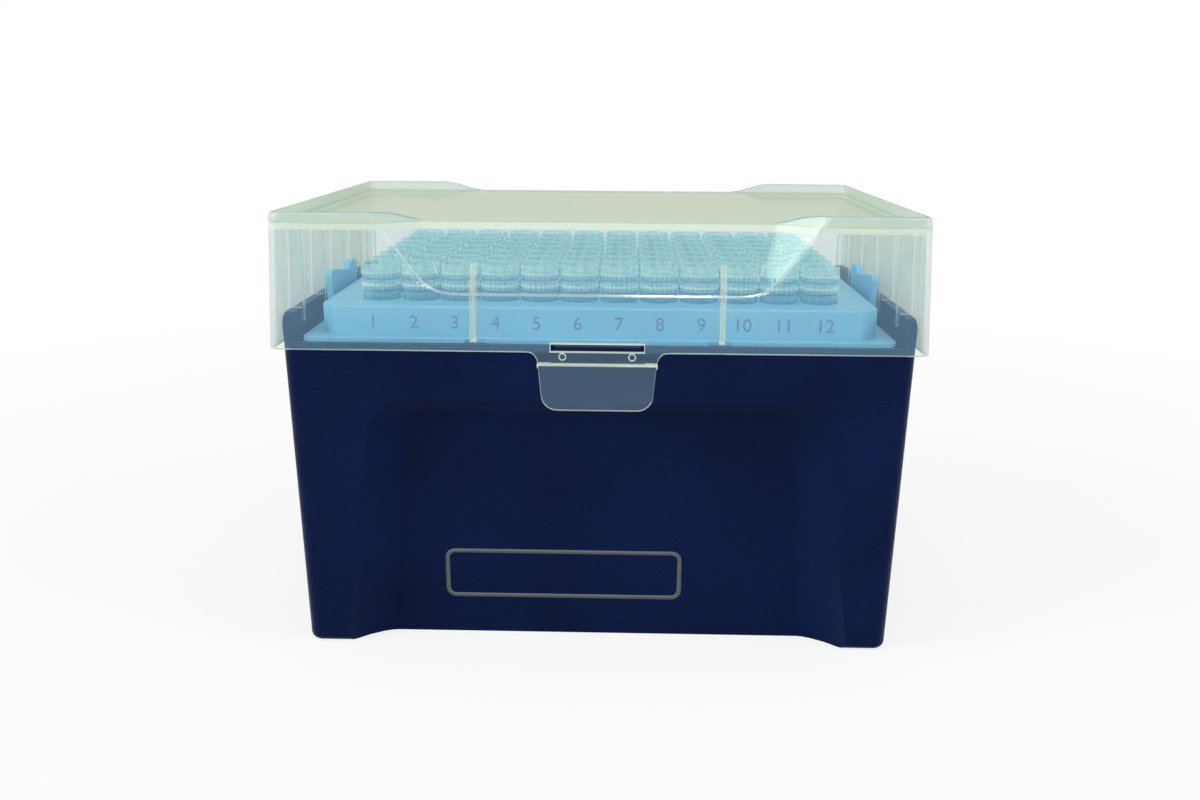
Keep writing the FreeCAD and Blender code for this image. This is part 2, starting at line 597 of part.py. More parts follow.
def scoop_cutter(inset):
    """Body that cuts the sloping scoop in the front of the lid, grown into the lid by inset."""
    front = -lid_half_y(SCOOP_FOOT_Z)
    rise = LID_ROOF_Z - SCOOP_FOOT_Z
    slope = SCOOP_SET_BACK / rise
    back_shift = inset * math.sqrt(1.0 + slope * slope)

    def floor_y(z):
        return front + (z - SCOOP_FOOT_Z) * slope + back_shift

    top = CURB_TOP_Z + rise / 2.0
    stretch = (top - SCOOP_FOOT_Z) / rise
    floor_top_half = SCOOP_FOOT_HALF + (SCOOP_FLOOR_HALF - SCOOP_FOOT_HALF) * stretch
    mouth_top_half = SCOOP_FOOT_HALF + (SCOOP_MOUTH_HALF - SCOOP_FOOT_HALF) * stretch
    out = 2.0 * LID_WALL
    foot = SCOOP_FOOT_Z - out / slope
    spread = out * (SCOOP_MOUTH_HALF - SCOOP_FLOOR_HALF) / SCOOP_SET_BACK

    floor_foot = SCOOP_FOOT_Z
    floor = [(-SCOOP_FOOT_HALF - inset, floor_foot, SCOOP_CORNER_R + inset),
             (SCOOP_FOOT_HALF + inset, floor_foot, SCOOP_CORNER_R + inset),
             (floor_top_half + inset, top, 0), (-floor_top_half - inset, top, 0)]
    mouth_foot_half = SCOOP_FOOT_HALF + spread
    mouth = [(-mouth_foot_half - inset, foot, SCOOP_CORNER_R + inset + out),
             (mouth_foot_half + inset, foot, SCOOP_CORNER_R + inset + out),
             (mouth_top_half + spread + inset, top, 0), (-mouth_top_half - spread - inset, top, 0)]
    floor_wire = rounded_wire(floor, lambda u, v: FreeCAD.Vector(u, floor_y(v), v))
    mouth_wire = rounded_wire(mouth, lambda u, v: FreeCAD.Vector(u, front - out + back_shift, v))
    return Part.makeLoft([mouth_wire, floor_wire], True, True)


def lid_outer():
    """The lid's whole outer form as a solid, with the curbs still filled in."""
    form = lid_block(0.0, LID_FOOT_Z, CURB_TOP_Z).cut(curb_cutter())
    crown = []
    for edge in form.Edges:
        bounds = edge.BoundBox
        if bounds.ZMin > LID_ROOF_Z - 0.01:
            on_end = bounds.XMin > lid_half_x(CURB_TOP_Z) - LID_CORNER_R
            on_end = on_end or bounds.XMax < LID_CORNER_R - lid_half_x(CURB_TOP_Z)
            on_side = abs(bounds.YMax - bounds.YMin) < LID_CORNER_R
            if on_end or on_side:
                crown.append(edge)
    return form.makeFillet(LID_TOP_R, crown).cut(scoop_cutter(0.0))


def lid_space(inset, foot_z, top_z):
    """Solid between two heights inside the lid's walls and scoop, moved inwards by inset."""
    return lid_block(inset, foot_z, top_z).cut(scoop_cutter(inset))


def on_front_wall(shape):
    """Places a shape drawn flat (Y inwards from the outer face, Z up from the lid's lower edge)."""
    shape.rotate(FreeCAD.Vector(0, 0, 0), FreeCAD.Vector(1, 0, 0), -LID_DRAFT)
    shape.translate(FreeCAD.Vector(0, -LID_HALF_Y, LID_FOOT_Z))
    return shape


def tongue():
    """Part of the front wall that hangs below the lid's lower edge, down to the crease."""
    flare = TONGUE_HALF_TOP + TONGUE_FILLET_R
    foot = -(CREASE_DROP - CREASE_R - CREASE_GAP)
    outline = [(-TONGUE_HALF_FOOT, foot, 0), (TONGUE_HALF_FOOT, foot, 0),
               (TONGUE_HALF_TOP, 0.0, TONGUE_FILLET_R), (flare, 0.0, 0),
               (flare, TONGUE_ROOT, 0), (-flare, TONGUE_ROOT, 0),
               (-flare, 0.0, 0), (-TONGUE_HALF_TOP, 0.0, TONGUE_FILLET_R)]
    return on_front_wall(prism(outline, upright_xz(0.0), FreeCAD.Vector(0, LID_WALL, 0)))


def latch_window():
    window = box(-SLOT_HALF, SLOT_HALF, -LID_WALL, 2.0 * LID_WALL, SLOT_RISE, SLOT_RISE + SLOT_HEIGHT)
    return on_front_wall(window)


def pip_marks():
    """Two raised rings below the window."""
    rings = []
    for x in (-PIP_X, PIP_X):
        centre = FreeCAD.Vector(x, -PIP_HEIGHT, -PIP_DROP)
        ring = Part.makeCylinder(PIP_R, 2.0 * PIP_HEIGHT, centre, FreeCAD.Vector(0, 1, 0))
        dimple = Part.makeCylinder(PIP_DIMPLE_R, PIP_HEIGHT, centre, FreeCAD.Vector(0, 1, 0))
        rings.append(on_front_wall(ring.cut(dimple)))
    return rings


def front_ribs():
    """Two upright ribs inside the front wall that stop just above the rack's flange."""
    wall = -(LID_HALF_Y - LID_WALL / 2.0)
    inner = -(LID_HALF_Y - LID_WALL - FRONT_RIB_REACH)
    foot = FLANGE_TOP_Z + FRONT_RIB_GAP
    half = FRONT_RIB_WIDTH / 2.0
    keep = lid_space(LID_WALL / 2.0, LID_FOOT_Z, LID_ROOF_Z - LID_WALL / 2.0)
    ribs = []
    for x in (-FRONT_RIB_X, FRONT_RIB_X):
        ribs.append(box(x - half, x + half, wall, inner, foot, LID_ROOF_Z).common(keep))
    return ribs


def end_ribs():
    """Ribs inside the two end walls; each sits on an ear's top and drops a tooth inside it."""
    seat = EAR_TOP_Z + LID_REST_GAP
    tooth_outer = EAR_INNER_X - TOOTH_GAP
    keep = lid_space(LID_WALL / 2.0, LID_FOOT_Z, LID_ROOF_Z - LID_WALL / 2.0)
    half = END_RIB_WIDTH / 2.0
    ribs = []
    for index in range(END_RIB_COUNT):
        y = (index - (END_RIB_COUNT - 1) / 2.0) * END_RIB_PITCH
        outline = [(END_RIB_X, LID_ROOF_Z, 0), (LID_HALF_X, LID_ROOF_Z, 0), (LID_HALF_X, seat, 0),
                   (tooth_outer, seat, RIB_SEAT_R), (tooth_outer, EAR_TOP_Z - TOOTH_DROP, TOOTH_R),
                   (END_RIB_X, EAR_TOP_Z - TOOTH_DROP, TOOTH_R)]
        rib = prism(outline, upright_xz(y - half), FreeCAD.Vector(0, END_RIB_WIDTH, 0)).common(keep)
        ribs += [rib, mirrored_x(rib)]
    return ribs


def hinge_knuckle(middle):
    """Lid's knuckle with its moulded pin, carried by a web on the rear wall."""
    x0 = middle - BARREL_HALF
    x1 = middle + BARREL_HALF
    wall = LID_HALF_Y - LID_WALL / 2.0
    outline = [(wall, LID_FOOT_Z + WEB_FOOT, 0), (wall, LID_FOOT_Z + WEB_RISE, 0),
               (HINGE_Y, HINGE_Z + BARREL_R, 0), (HINGE_Y, HINGE_Z, 0)]
    web = prism(outline, upright_yz(x0), FreeCAD.Vector(x1 - x0, 0, 0))
    pin_end = KNUCKLE_GAP + CHEEK_THICKNESS
    barrel = rod_x(x0, x1, HINGE_Y, HINGE_Z, BARREL_R)
    pin = rod_x(x0 - pin_end, x1 + pin_end, HINGE_Y, HINGE_Z, PIN_R)
    return web.multiFuse([barrel, pin])


def build_lid():
    cavity = lid_space(LID_WALL, LID_FOOT_Z - PAST, LID_ROOF_Z - LID_WALL)
    tray = lid_space(LID_WALL, LID_ROOF_Z, CURB_TOP_Z + PAST)
    shell = lid_outer().cut(cavity).cut(tray)
    additions = [tongue()] + pip_marks() + front_ribs() + end_ribs()
    additions += [hinge_knuckle(-HINGE_X), hinge_knuckle(HINGE_X)]
    return fuse_all(shell, additions).cut(latch_window())


def build_flap():
    """Thumb flap below the crease, hinged on a thin bead."""
    outline = [(-TONGUE_HALF_FOOT, -CREASE_DROP, 0), (-FLAP_HALF_FOOT, -FLAP_DROP, FLAP_CORNER_R),
               (FLAP_HALF_FOOT, -FLAP_DROP, FLAP_CORNER_R), (TONGUE_HALF_FOOT, -CREASE_DROP, 0)]
    plate = prism(outline, upright_xz(0.0), FreeCAD.Vector(0, LID_WALL, 0))
    end = TONGUE_HALF_FOOT + CREASE_OVERHANG
    bead = rod_x(-end, end, CREASE_R, -CREASE_DROP, CREASE_R)
    return on_front_wall(fuse_all(plate, [bead]))


# ---------------------------------------------------------------- export
def main():
    os.makedirs("parts", exist_ok=True)
    build_base().exportStep("parts/base.step")
    build_rack().exportStep("parts/rack.step")
    build_lid().exportStep("parts/lid.step")
    build_flap().exportStep("parts/latch_flap.step")
    tip = build_tip()
    for number, column in enumerate(grid_places(), start=1):
        copies = [tip.translated(FreeCAD.Vector(x, y, 0)) for x, y in column]
        Part.makeCompound(copies).exportStep("parts/tip_column_%02d.step" % number)


main()
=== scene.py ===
"""Dresses the hinged pipette tip box: its tub, rack, hanging tips, clear lid and thumb flap.

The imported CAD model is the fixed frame. Sizes in the classes are in millimetres, and every mesh is made
in metres in the frame of that model: X along the long side, Y from the latch to the hinge, Z up.
"""

import json
import logging
import math
from contextlib import contextmanager
from dataclasses import dataclass, field, replace
from enum import Enum
from functools import cached_property
from typing import Any, Callable, Iterator

import bmesh
import bpy
import numpy as np
from bpy.types import Material, Mesh, NodeSocket, Object
from mathutils import Matrix, Vector
from mathutils.bvhtree import BVHTree

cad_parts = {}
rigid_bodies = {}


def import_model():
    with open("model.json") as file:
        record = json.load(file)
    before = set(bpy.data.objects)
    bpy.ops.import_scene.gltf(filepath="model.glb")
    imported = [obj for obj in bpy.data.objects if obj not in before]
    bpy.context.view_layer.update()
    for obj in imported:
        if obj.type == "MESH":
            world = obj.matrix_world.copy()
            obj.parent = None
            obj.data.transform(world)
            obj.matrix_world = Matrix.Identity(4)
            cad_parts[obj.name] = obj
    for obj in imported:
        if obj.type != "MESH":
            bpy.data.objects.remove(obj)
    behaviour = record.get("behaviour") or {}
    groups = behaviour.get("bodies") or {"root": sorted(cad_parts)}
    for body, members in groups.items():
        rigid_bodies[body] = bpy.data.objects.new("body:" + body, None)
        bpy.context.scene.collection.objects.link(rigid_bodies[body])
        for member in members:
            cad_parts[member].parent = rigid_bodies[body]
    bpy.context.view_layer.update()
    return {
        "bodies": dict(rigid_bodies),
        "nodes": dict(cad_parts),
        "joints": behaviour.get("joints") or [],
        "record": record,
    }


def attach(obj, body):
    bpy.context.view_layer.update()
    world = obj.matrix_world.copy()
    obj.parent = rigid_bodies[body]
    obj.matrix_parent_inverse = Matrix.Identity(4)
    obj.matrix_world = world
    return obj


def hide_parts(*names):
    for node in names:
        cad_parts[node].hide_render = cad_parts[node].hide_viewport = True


LOG = logging.getLogger("tip_box")
MM = 0.001
WHITE = (1.0, 1.0, 1.0, 1.0)
SIDES = (-1.0, 1.0)
EDGES = (-0.5, 0.5)  # of a rib, in its widths from its middle
LOOKS_UP = 0.7  # a face whose normal has this much Z or more looks up

# Attributes of a mesh that the clear finish reads: the share of painted pale highlight, partly from the
# depth of plastic behind a face and partly marked on rims, ribs, curbs and bends; the share of painted
# blue, a painted refraction of the rack on the lid and painted shade on the tips; the share of painted
# highlight on rounded bends; and how clear a rib's side is.
DEPTH_AND_HIGHLIGHT_ATTRIBUTE = "depth_and_painted_highlight"
PAINTED_BLUE_ATTRIBUTE = "painted_blue_refraction_and_shade"
BEND_ATTRIBUTE = "bend_share"
CLEAR_ATTRIBUTE = "rib_side"

Frame = dict[str, Any]
Plane = tuple[Vector, Vector]  # a point in millimetres and a normal


class Body(Enum):
    """The rigid bodies of the model, by the names that the record gives them."""

    BOX = "box"
    LID = "lid"
    FLAP = "latch_flap"


class Slot(Enum):
    """The record's material slots."""

    BASE = "base_plastic"
    RACK = "rack_plastic"
    TIP = "tip_plastic"
    LID = "lid_plastic"


# ---- nodes and colours
def linear(hex_colour: str) -> tuple[float, float, float, float]:
    """Turn a colour written as sRGB hex into the linear values that shaders take.

    Args:
        hex_colour: Six hex digits.

    Returns:
        Red, green, blue and an alpha of 1.
    """
    parts = np.array([int(hex_colour[i:i + 2], 16) for i in (0, 2, 4)]) / 255.0
    light = np.where(parts <= 0.04045, parts / 12.92, ((parts + 0.055) / 1.055) ** 2.4)
    return (float(light[0]), float(light[1]), float(light[2]), 1.0)


class NodeSheet:
    """The node tree of a material or world."""

    def __init__(self, owner: Material | bpy.types.World) -> None:
        """Empty the owner's node tree.

        Args:
            owner: The material or world to draw.
        """
        self.owner = owner
        owner.use_nodes = True
        owner.node_tree.nodes.clear()

    def add(self, kind: str, inputs: dict[str | int, Any] | None = None, out: str | int = 0,
            **settings: Any) -> NodeSocket:
        """Add one node with its settings, values and links.

        Args:
            kind: Blender's name for the type of node, without "ShaderNode".
            inputs: Socket name or number to a plain value, or to the output socket that feeds it.
            out: Name or number of the output that is wanted.
            **settings: Attributes of the node itself.

        Returns:
            That output's socket.
        """
        node = self.owner.node_tree.nodes.new("ShaderNode" + kind)
        for name, value in settings.items():
            setattr(node, name, value)
        for key, value in (inputs or {}).items():
            if isinstance(value, NodeSocket):
                self.owner.node_tree.links.new(value, node.inputs[key])
            else:
                node.inputs[key].default_value = value
        return node.outputs[out] if node.outputs else None

    def finish(self, shader: NodeSocket) -> None:
        """Show a shader on the owner."""
        self.add("OutputWorld" if isinstance(self.owner, bpy.types.World) else "OutputMaterial",
                 {"Surface": shader})

    def grain(self, size_mm: float, detail: float = 2.0) -> NodeSocket:
        """Return noise on Object coordinates, with grains of a size and octaves of finer grain on top."""
        inputs = {"Vector": self.add("TexCoord", out="Object"), "Scale": 1.0 / size_mm / MM, "Detail": detail}
        return self.add("TexNoise", inputs, out="Fac")

    def seen(self) -> NodeSocket:
        """Tell what is looked at from what only lights other things.

        Returns:
            1 for a line of sight, straight, in a mirror or through glass, and 0 for light.
        """
        path = self.add("LightPath").node.outputs
        seen = path["Is Camera Ray"]
        for kind in ("Is Glossy Ray", "Is Transmission Ray"):
            seen = self.add("Math", {0: seen, 1: path[kind]}, operation="ADD", use_clamp=True)
        return seen


# ---- finishes
@dataclass(frozen=True)
class Finish:
    """What a surface is made of, and how light meets it."""

    name: str

    def draw(self, sheet: NodeSheet) -> NodeSocket:
        """Draw the finish, and return its shader."""
        raise NotImplementedError

    def build(self) -> Material:
        """Make the finish.

        Returns:
            Its material.
        """
        material = bpy.data.materials.new(self.name)
        sheet = NodeSheet(material)
        sheet.finish(self.draw(sheet))
        return material


@dataclass(frozen=True)
class GrainedPolypropylene(Finish):
    """Opaque injection-moulded polypropylene with a fine spark-eroded grain.

    To the eye it is an even, deep colour with no clear mirror image: light spreads into a dull sheen that
    brightens along rounded edges.
    """

    colour: str
    shade: str  # the colour in the hollows of the grain
    roughness: float = 0.46
    roughness_spread: float = 0.08
    ior: float = 1.49
    gloss: float = 0.08  # the grain breaks up nearly all of the surface reflection
    turned_coat: float = 0.5  # but less and less of it as a face turns away
    turned_power: float = 3.0
    coat_roughness: float = 0.4
    grain_mm: float = 0.55  # real grain is about 0.1 mm; drawn coarser so that it shows
    grain_depth_mm: float = 0.012
    grain_strength: float = 0.6
    grain_octaves: float = 3.0
    grain_span: tuple[float, float] = (0.3, 0.7)  # noise from the smoothest spots to the roughest
    flow_mm: float = 34.0  # faint clouds left by the melt's flow
    tone_span: tuple[float, float] = (0.12, 0.38)  # grain times clouds, from all shade to all colour

    def draw(self, sheet: NodeSheet) -> NodeSocket:
        """Draw the grain, the clouds and the sheen.

        Args:
            sheet: The material's nodes.

        Returns:
            The shader.
        """
        fine = sheet.grain(self.grain_mm, self.grain_octaves)
        mottle = sheet.add("Math", {0: fine, 1: sheet.grain(self.flow_mm)}, operation="MULTIPLY")
        tone = sheet.add("MapRange", {"Value": mottle, "From Min": self.tone_span[0],
                                      "From Max": self.tone_span[1]})
        rough = sheet.add("MapRange", {"Value": fine, "From Min": self.grain_span[0],
                                       "From Max": self.grain_span[1],
                                       "To Min": self.roughness - self.roughness_spread,
                                       "To Max": self.roughness + self.roughness_spread})
        turned = sheet.add("LayerWeight", out="Facing")
        slant = sheet.add("Math", {0: turned, 1: self.turned_power}, operation="POWER")
        colour = sheet.add("Mix", {"Factor": tone, 6: linear(self.shade), 7: linear(self.colour)},
                           out=2, data_type="RGBA")
        coat = sheet.add("MapRange", {"Value": slant, "To Max": self.turned_coat})
        bumps = sheet.add("Bump", {"Height": fine, "Strength": self.grain_strength,
                                   "Distance": self.grain_depth_mm * MM})
        return sheet.add("BsdfPrincipled", {
            "Base Color": colour, "Roughness": rough, "IOR": self.ior, "Specular IOR Level": self.gloss,
            "Coat Weight": coat, "Coat Roughness": self.coat_roughness, "Normal": bumps})


@dataclass(frozen=True)
class ClearMoulding(Finish):
    """Thin clarified plastic, moulded against polished steel.

    To the eye a flat wall is nearly clear with a faint milky tint, while everything seen edge on turns pale.
    Rims, ribs, corners and bends, with a greater depth of plastic behind them, get a painted pale highlight,
    and a painted blue stands for the rack seen through the plastic and for shade in a tip's grooves.
    """

    tint: str  # what one face lets through
    haze: str  # the milky light that the plastic scatters
    edge: str  # the same, where much plastic lies behind the face
    gloss: str  # the painted pale highlight colour, for much plastic behind the face or a marked highlight, and edge on
    haze_share: float  # of a face seen square on
    edge_share: float  # of a face seen edge on
    edge_power: float = 3.0  # how closely the milky look keeps to the edge
    deep_share: float = 0.5  # share of painted pale highlight, of a face with much plastic behind it or a marked highlight
    pale_gain: float = 2.5  # how soon the haze turns to the painted highlight colour
    painted_blue: str = "6FA8C4"  # painted blue: the rack seen through the lid on the curbs' crests, and shade in a tip's grooves and foot
    painted_blue_share: float = 0.6
    mirror_share: float = 0.035  # reflection of a face seen square on
    mirror_limit: float = 0.55  # and of one seen edge on
    mirror_power: float = 5.0  # how closely the reflection keeps to the edge
    roughness: float = 0.10
    milk_roughness: float = 0.5
    ior: float = 1.5
    light_passed: float = 0.7  # light that it scatters forwards, on to what lies behind it
    rib_tint: str = ""  # what a rib's side lets through, for a moulding that has ribs
    rib_haze: float = 0.25  # and how much of the milky look it has
    ripple_mm: float = 9.0  # slow waves of the moulded face
    ripple_depth_mm: float = 0.01
    ripple_strength: float = 0.5

    def draw(self, sheet: NodeSheet) -> NodeSocket:
        """Draw what the plastic lets through, scatters and reflects.

        Its faces stand for a thin sheet, so both sides reflect alike: the share of reflection is a small
        constant plus a power of how far the face is turned away. The mesh's attributes add a painted pale
        highlight and a painted blue.

        Args:
            sheet: The material's nodes.

        Returns:
            The shader.
        """
        wave = sheet.add("Bump", {"Height": sheet.grain(self.ripple_mm, 1.0),
                                  "Strength": self.ripple_strength,
                                  "Distance": self.ripple_depth_mm * MM})
        # painted pale highlight share and painted blue share, as stored on the mesh
        depth = sheet.add("Attribute", out="Fac", attribute_name=DEPTH_AND_HIGHLIGHT_ATTRIBUTE)
        blue = sheet.add("Attribute", out="Fac", attribute_name=PAINTED_BLUE_ATTRIBUTE)
        turned = sheet.add("LayerWeight", out="Facing")
        slant = sheet.add("Math", {0: turned, 1: self.edge_power}, operation="POWER")
        thin = sheet.add("MapRange", {"Value": slant, "To Min": self.haze_share, "To Max": self.edge_share})
        passed: Any = linear(self.tint)
        if self.rib_tint:
            rib = sheet.add("Attribute", out="Fac", attribute_name=CLEAR_ATTRIBUTE)
            left = sheet.add("MapRange", {"Value": rib, "To Min": 1.0, "To Max": self.rib_haze})
            thin = sheet.add("Math", {0: thin, 1: left}, operation="MULTIPLY")
            passed = sheet.add("Mix", {"Factor": rib, 6: passed, 7: linear(self.rib_tint)},
                               out=2, data_type="RGBA")
        clear = sheet.add("BsdfTransparent", {"Color": passed})
        # painted pale highlight: more milk where the mesh marks depth or a highlight line
        deep = sheet.add("MapRange", {"Value": depth, "To Max": self.deep_share})
        plain = sheet.add("Math", {0: thin, 1: deep}, operation="ADD", use_clamp=True)
        # painted blue: a painted refraction of the rack on the lid, painted shade on the tips
        painted_blue = sheet.add("MapRange", {"Value": blue, "To Max": self.painted_blue_share})
        share = sheet.add("Math", {0: plain, 1: painted_blue}, operation="MAXIMUM")
        # the milk turns toward the painted highlight colour with the depth marks and toward edges seen edge
        # on
        gathered = sheet.add("Math", {0: depth, 1: slant}, operation="MAXIMUM")
        pale = sheet.add("Math", {0: gathered, 1: self.pale_gain}, operation="MULTIPLY", use_clamp=True)
        milky = sheet.add("Mix", {"Factor": pale, 6: linear(self.haze), 7: linear(self.edge)},
                          out=2, data_type="RGBA")
        colour = sheet.add("Mix", {"Factor": blue, 6: milky, 7: linear(self.painted_blue)},
                           out=2, data_type="RGBA")
        milk = sheet.add("BsdfPrincipled", {"Base Color": colour, "Roughness": self.milk_roughness,
                                            "IOR": self.ior, "Specular IOR Level": 0.0, "Normal": wave})
        gloss = sheet.add("BsdfGlossy", {"Color": linear(self.gloss), "Roughness": self.roughness,
                                         "Normal": wave})
        grazing = sheet.add("Math", {0: turned, 1: self.mirror_power}, operation="POWER")
        mirror = sheet.add("MapRange", {"Value": grazing, "To Min": self.mirror_share,
                                        "To Max": self.mirror_limit})
        body = sheet.add("MixShader", {0: share, 1: clear, 2: milk})
        surface = sheet.add("MixShader", {0: mirror, 1: body, 2: gloss})
        path = sheet.add("LightPath").node.outputs
        lighting = sheet.add("Math", {0: path["Is Shadow Ray"], 1: path["Is Diffuse Ray"]},
                             operation="MAXIMUM")
        open_way = sheet.add("BsdfTransparent", {"Color": WHITE})
        let_by = sheet.add("Math", {0: lighting, 1: self.light_passed}, operation="MULTIPLY")
        return sheet.add("MixShader", {0: let_by, 1: surface, 2: open_way})


@dataclass(frozen=True)
class PadPrint(Finish):
    """Matt pad-printing ink, slightly uneven where the pad lifted."""

    colour: str
    worn: str
    roughness: float = 0.6
    speckle_mm: float = 0.5
    speckle_octaves: float = 3.0
    worn_span: tuple[float, float] = (0.35, 0.6)  # noise from the worn spots to the full ones

    def draw(self, sheet: NodeSheet) -> NodeSocket:
        """Draw the speckled ink.

        Args:
            sheet: The material's nodes.

        Returns:
            The shader.
        """
        speckle = sheet.grain(self.speckle_mm, self.speckle_octaves)
        tone = sheet.add("MapRange", {"Value": speckle, "From Min": self.worn_span[0],
                                      "From Max": self.worn_span[1]})
        colour = sheet.add("Mix", {"Factor": tone, 6: linear(self.worn), 7: linear(self.colour)},
                           out=2, data_type="RGBA")
        return sheet.add("BsdfPrincipled", {"Base Color": colour, "Roughness": self.roughness})


NAVY = GrainedPolypropylene("navy_polypropylene_grained", colour="0A1C46", shade="081432", gloss=0.035,
                            turned_coat=1.0)
SKY = GrainedPolypropylene("sky_blue_polypropylene_satin", colour="80C6E6", shade="74B8DC", roughness=0.38,
                           gloss=0.25, turned_coat=0.8, turned_power=2.0, grain_mm=0.8, grain_depth_mm=0.004)
# on the lid, the painted blue is a painted refraction of the rack on the front curbs' crests
LID_CLEAR = ClearMoulding("lid_clarified_polypropylene", tint="FDFDF8", haze="8CC8F8", edge="D6E4D3",
                          gloss="C6CEBC", haze_share=0.105, edge_share=0.5, deep_share=0.72,
                          mirror_share=0.024, rib_tint="FDFEFD", painted_blue_share=0.75)
FLAP_CLEAR = replace(LID_CLEAR, name="flap_clarified_polypropylene", haze_share=0.062, rib_tint="")
# on the tips, the painted blue is painted shade in the grooves and at the foot, and pale highlights are
# painted on the beads, lip and ribs
TIP_CLEAR = ClearMoulding("tip_natural_polypropylene", tint="EDF9FB", haze="A8DBE0", edge="D6F4EF",
                          gloss="DCE8E6", haze_share=0.09, edge_share=0.42, edge_power=2.5,
                          painted_blue="3488BC", painted_blue_share=0.62, mirror_limit=0.3, roughness=0.4)
GREY_INK = PadPrint("grey_pad_print", colour="4A5157", worn="3E454B")
RACK_INK = PadPrint("slate_pad_print", colour="4F7F97", worn="5B8CA4")


# ---- objects
def placed(name: str, data: bpy.types.ID) -> Object:
    """Link a new object into the scene, at the origin and unturned.

    Args:
        name: Its name.
        data: Its mesh, lamp or camera.

    Returns:
        The object.
    """
    item = bpy.data.objects.new(name, data)
    bpy.context.scene.collection.objects.link(item)
    return item


def finished_object(name: str, mesh: Mesh, finish: Material, body: Body) -> Object:
    """Link a mesh into the scene as a piece of the model.

    Args:
        name: The piece's name.
        mesh: Its mesh, in metres, already in place.
        finish: Its material.
        body: The body that it moves with.

    Returns:
        The new object, which sits unturned at the origin.
    """
    mesh.materials.clear()
    mesh.materials.append(finish)
    piece = placed(name, mesh)
    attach(piece, body.value)
    return piece


# ---- mesh helpers
@contextmanager
def opened(source: Mesh, target: Mesh | None = None) -> Iterator[bmesh.types.BMesh]:
    """Open a mesh for editing, and write it back at the end.

    Args:
        source: The mesh to read.
        target: The mesh to write, if it's another one.

    Yields:
        The open mesh.
    """
    shell = bmesh.new()
    shell.from_mesh(source)
    yield shell
    shell.to_mesh(source if target is None else target)
    shell.free()


def smooth_by_angle(mesh: Mesh, degrees: float) -> None:
    """Shade a mesh smooth, with edges kept crisp where they're sharper than an angle.

    Args:
        mesh: The mesh.
        degrees: The angle.
    """
    mesh.shade_smooth()
    mesh.set_sharp_from_angle(angle=math.radians(degrees))
    mesh.update()


def carried_mesh(node: Object, name: str, weld_mm: float = 0.004) -> Mesh:
    """Copy a CAD node's triangles into one closed mesh.

    Args:
        node: The CAD node.
        name: Name of the new mesh.
        weld_mm: Vertices closer than this become one.

    Returns:
        The welded copy.
    """
    mesh = bpy.data.meshes.new(name)
    with opened(node.data, mesh) as shell:
        bmesh.ops.remove_doubles(shell, verts=shell.verts, dist=weld_mm * MM)
        bmesh.ops.dissolve_degenerate(shell, edges=shell.edges, dist=weld_mm * MM)
    for layer in [a.name for a in mesh.attributes if a.name.startswith("custom_normal")]:
        mesh.attributes.remove(mesh.attributes[layer])
    return mesh


@dataclass(frozen=True)
class Redrawn:
    """A piece that stands for one node of the CAD model."""

    node: str
    name: str
    body: Body
    slot: Slot
    sharp_deg: float  # edges sharper than this stay crisp

    def build(self, frame: Frame, finish: Material,
              shape: Callable[[Mesh], None] | None = None) -> Object:
        """Make the piece, with large flat faces kept flat so that only roundings shade as curved.

        Args:
            finish: The piece's material.
            shape: Changes or marks the copy of the node's mesh.

        Returns:
            The piece.
        """
        mesh = carried_mesh(frame["nodes"][self.node], self.name)
        if shape is not None:
            shape(mesh)
        smooth_by_angle(mesh, self.sharp_deg)
        piece = finished_object(self.name, mesh, finish, self.body)
        modifier = piece.modifiers.new("weighted_normals", "WEIGHTED_NORMAL")
        modifier.mode = "FACE_AREA"
        modifier.weight = 100
        modifier.keep_sharp = True
        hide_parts(self.node)
        return piece


def square_plane(axis: int, place: float) -> Plane:
    """Return the plane square to an axis, numbered from 0 for X, at a place along it."""
    normal = Vector(np.eye(3)[axis])
    return normal * place, normal


def split_along(mesh: Mesh, planes: list[Plane], snap_mm: float = 0.002) -> None:
    """Divide a mesh's faces where planes cross them, with its form unchanged.

    Args:
        mesh: The mesh to divide.
        planes: The planes.
        snap_mm: Vertices this close to a plane count as on it.
    """
    with opened(mesh) as shell:
        for point, normal in planes:
            everything = shell.verts[:] + shell.edges[:] + shell.faces[:]
            bmesh.ops.bisect_plane(shell, geom=everything, dist=snap_mm * MM, plane_co=point * MM,
                                   plane_no=normal)


def set_faces(mesh: Mesh, name: str, values: np.ndarray, domain: str = "FACE") -> None:
    """Store a value for each face, or for each vertex if the domain is POINT, under an attribute's name."""
    attribute = mesh.attributes.get(name) or mesh.attributes.new(name, "FLOAT", domain)
    attribute.data.foreach_set("value", values.astype(np.float32))


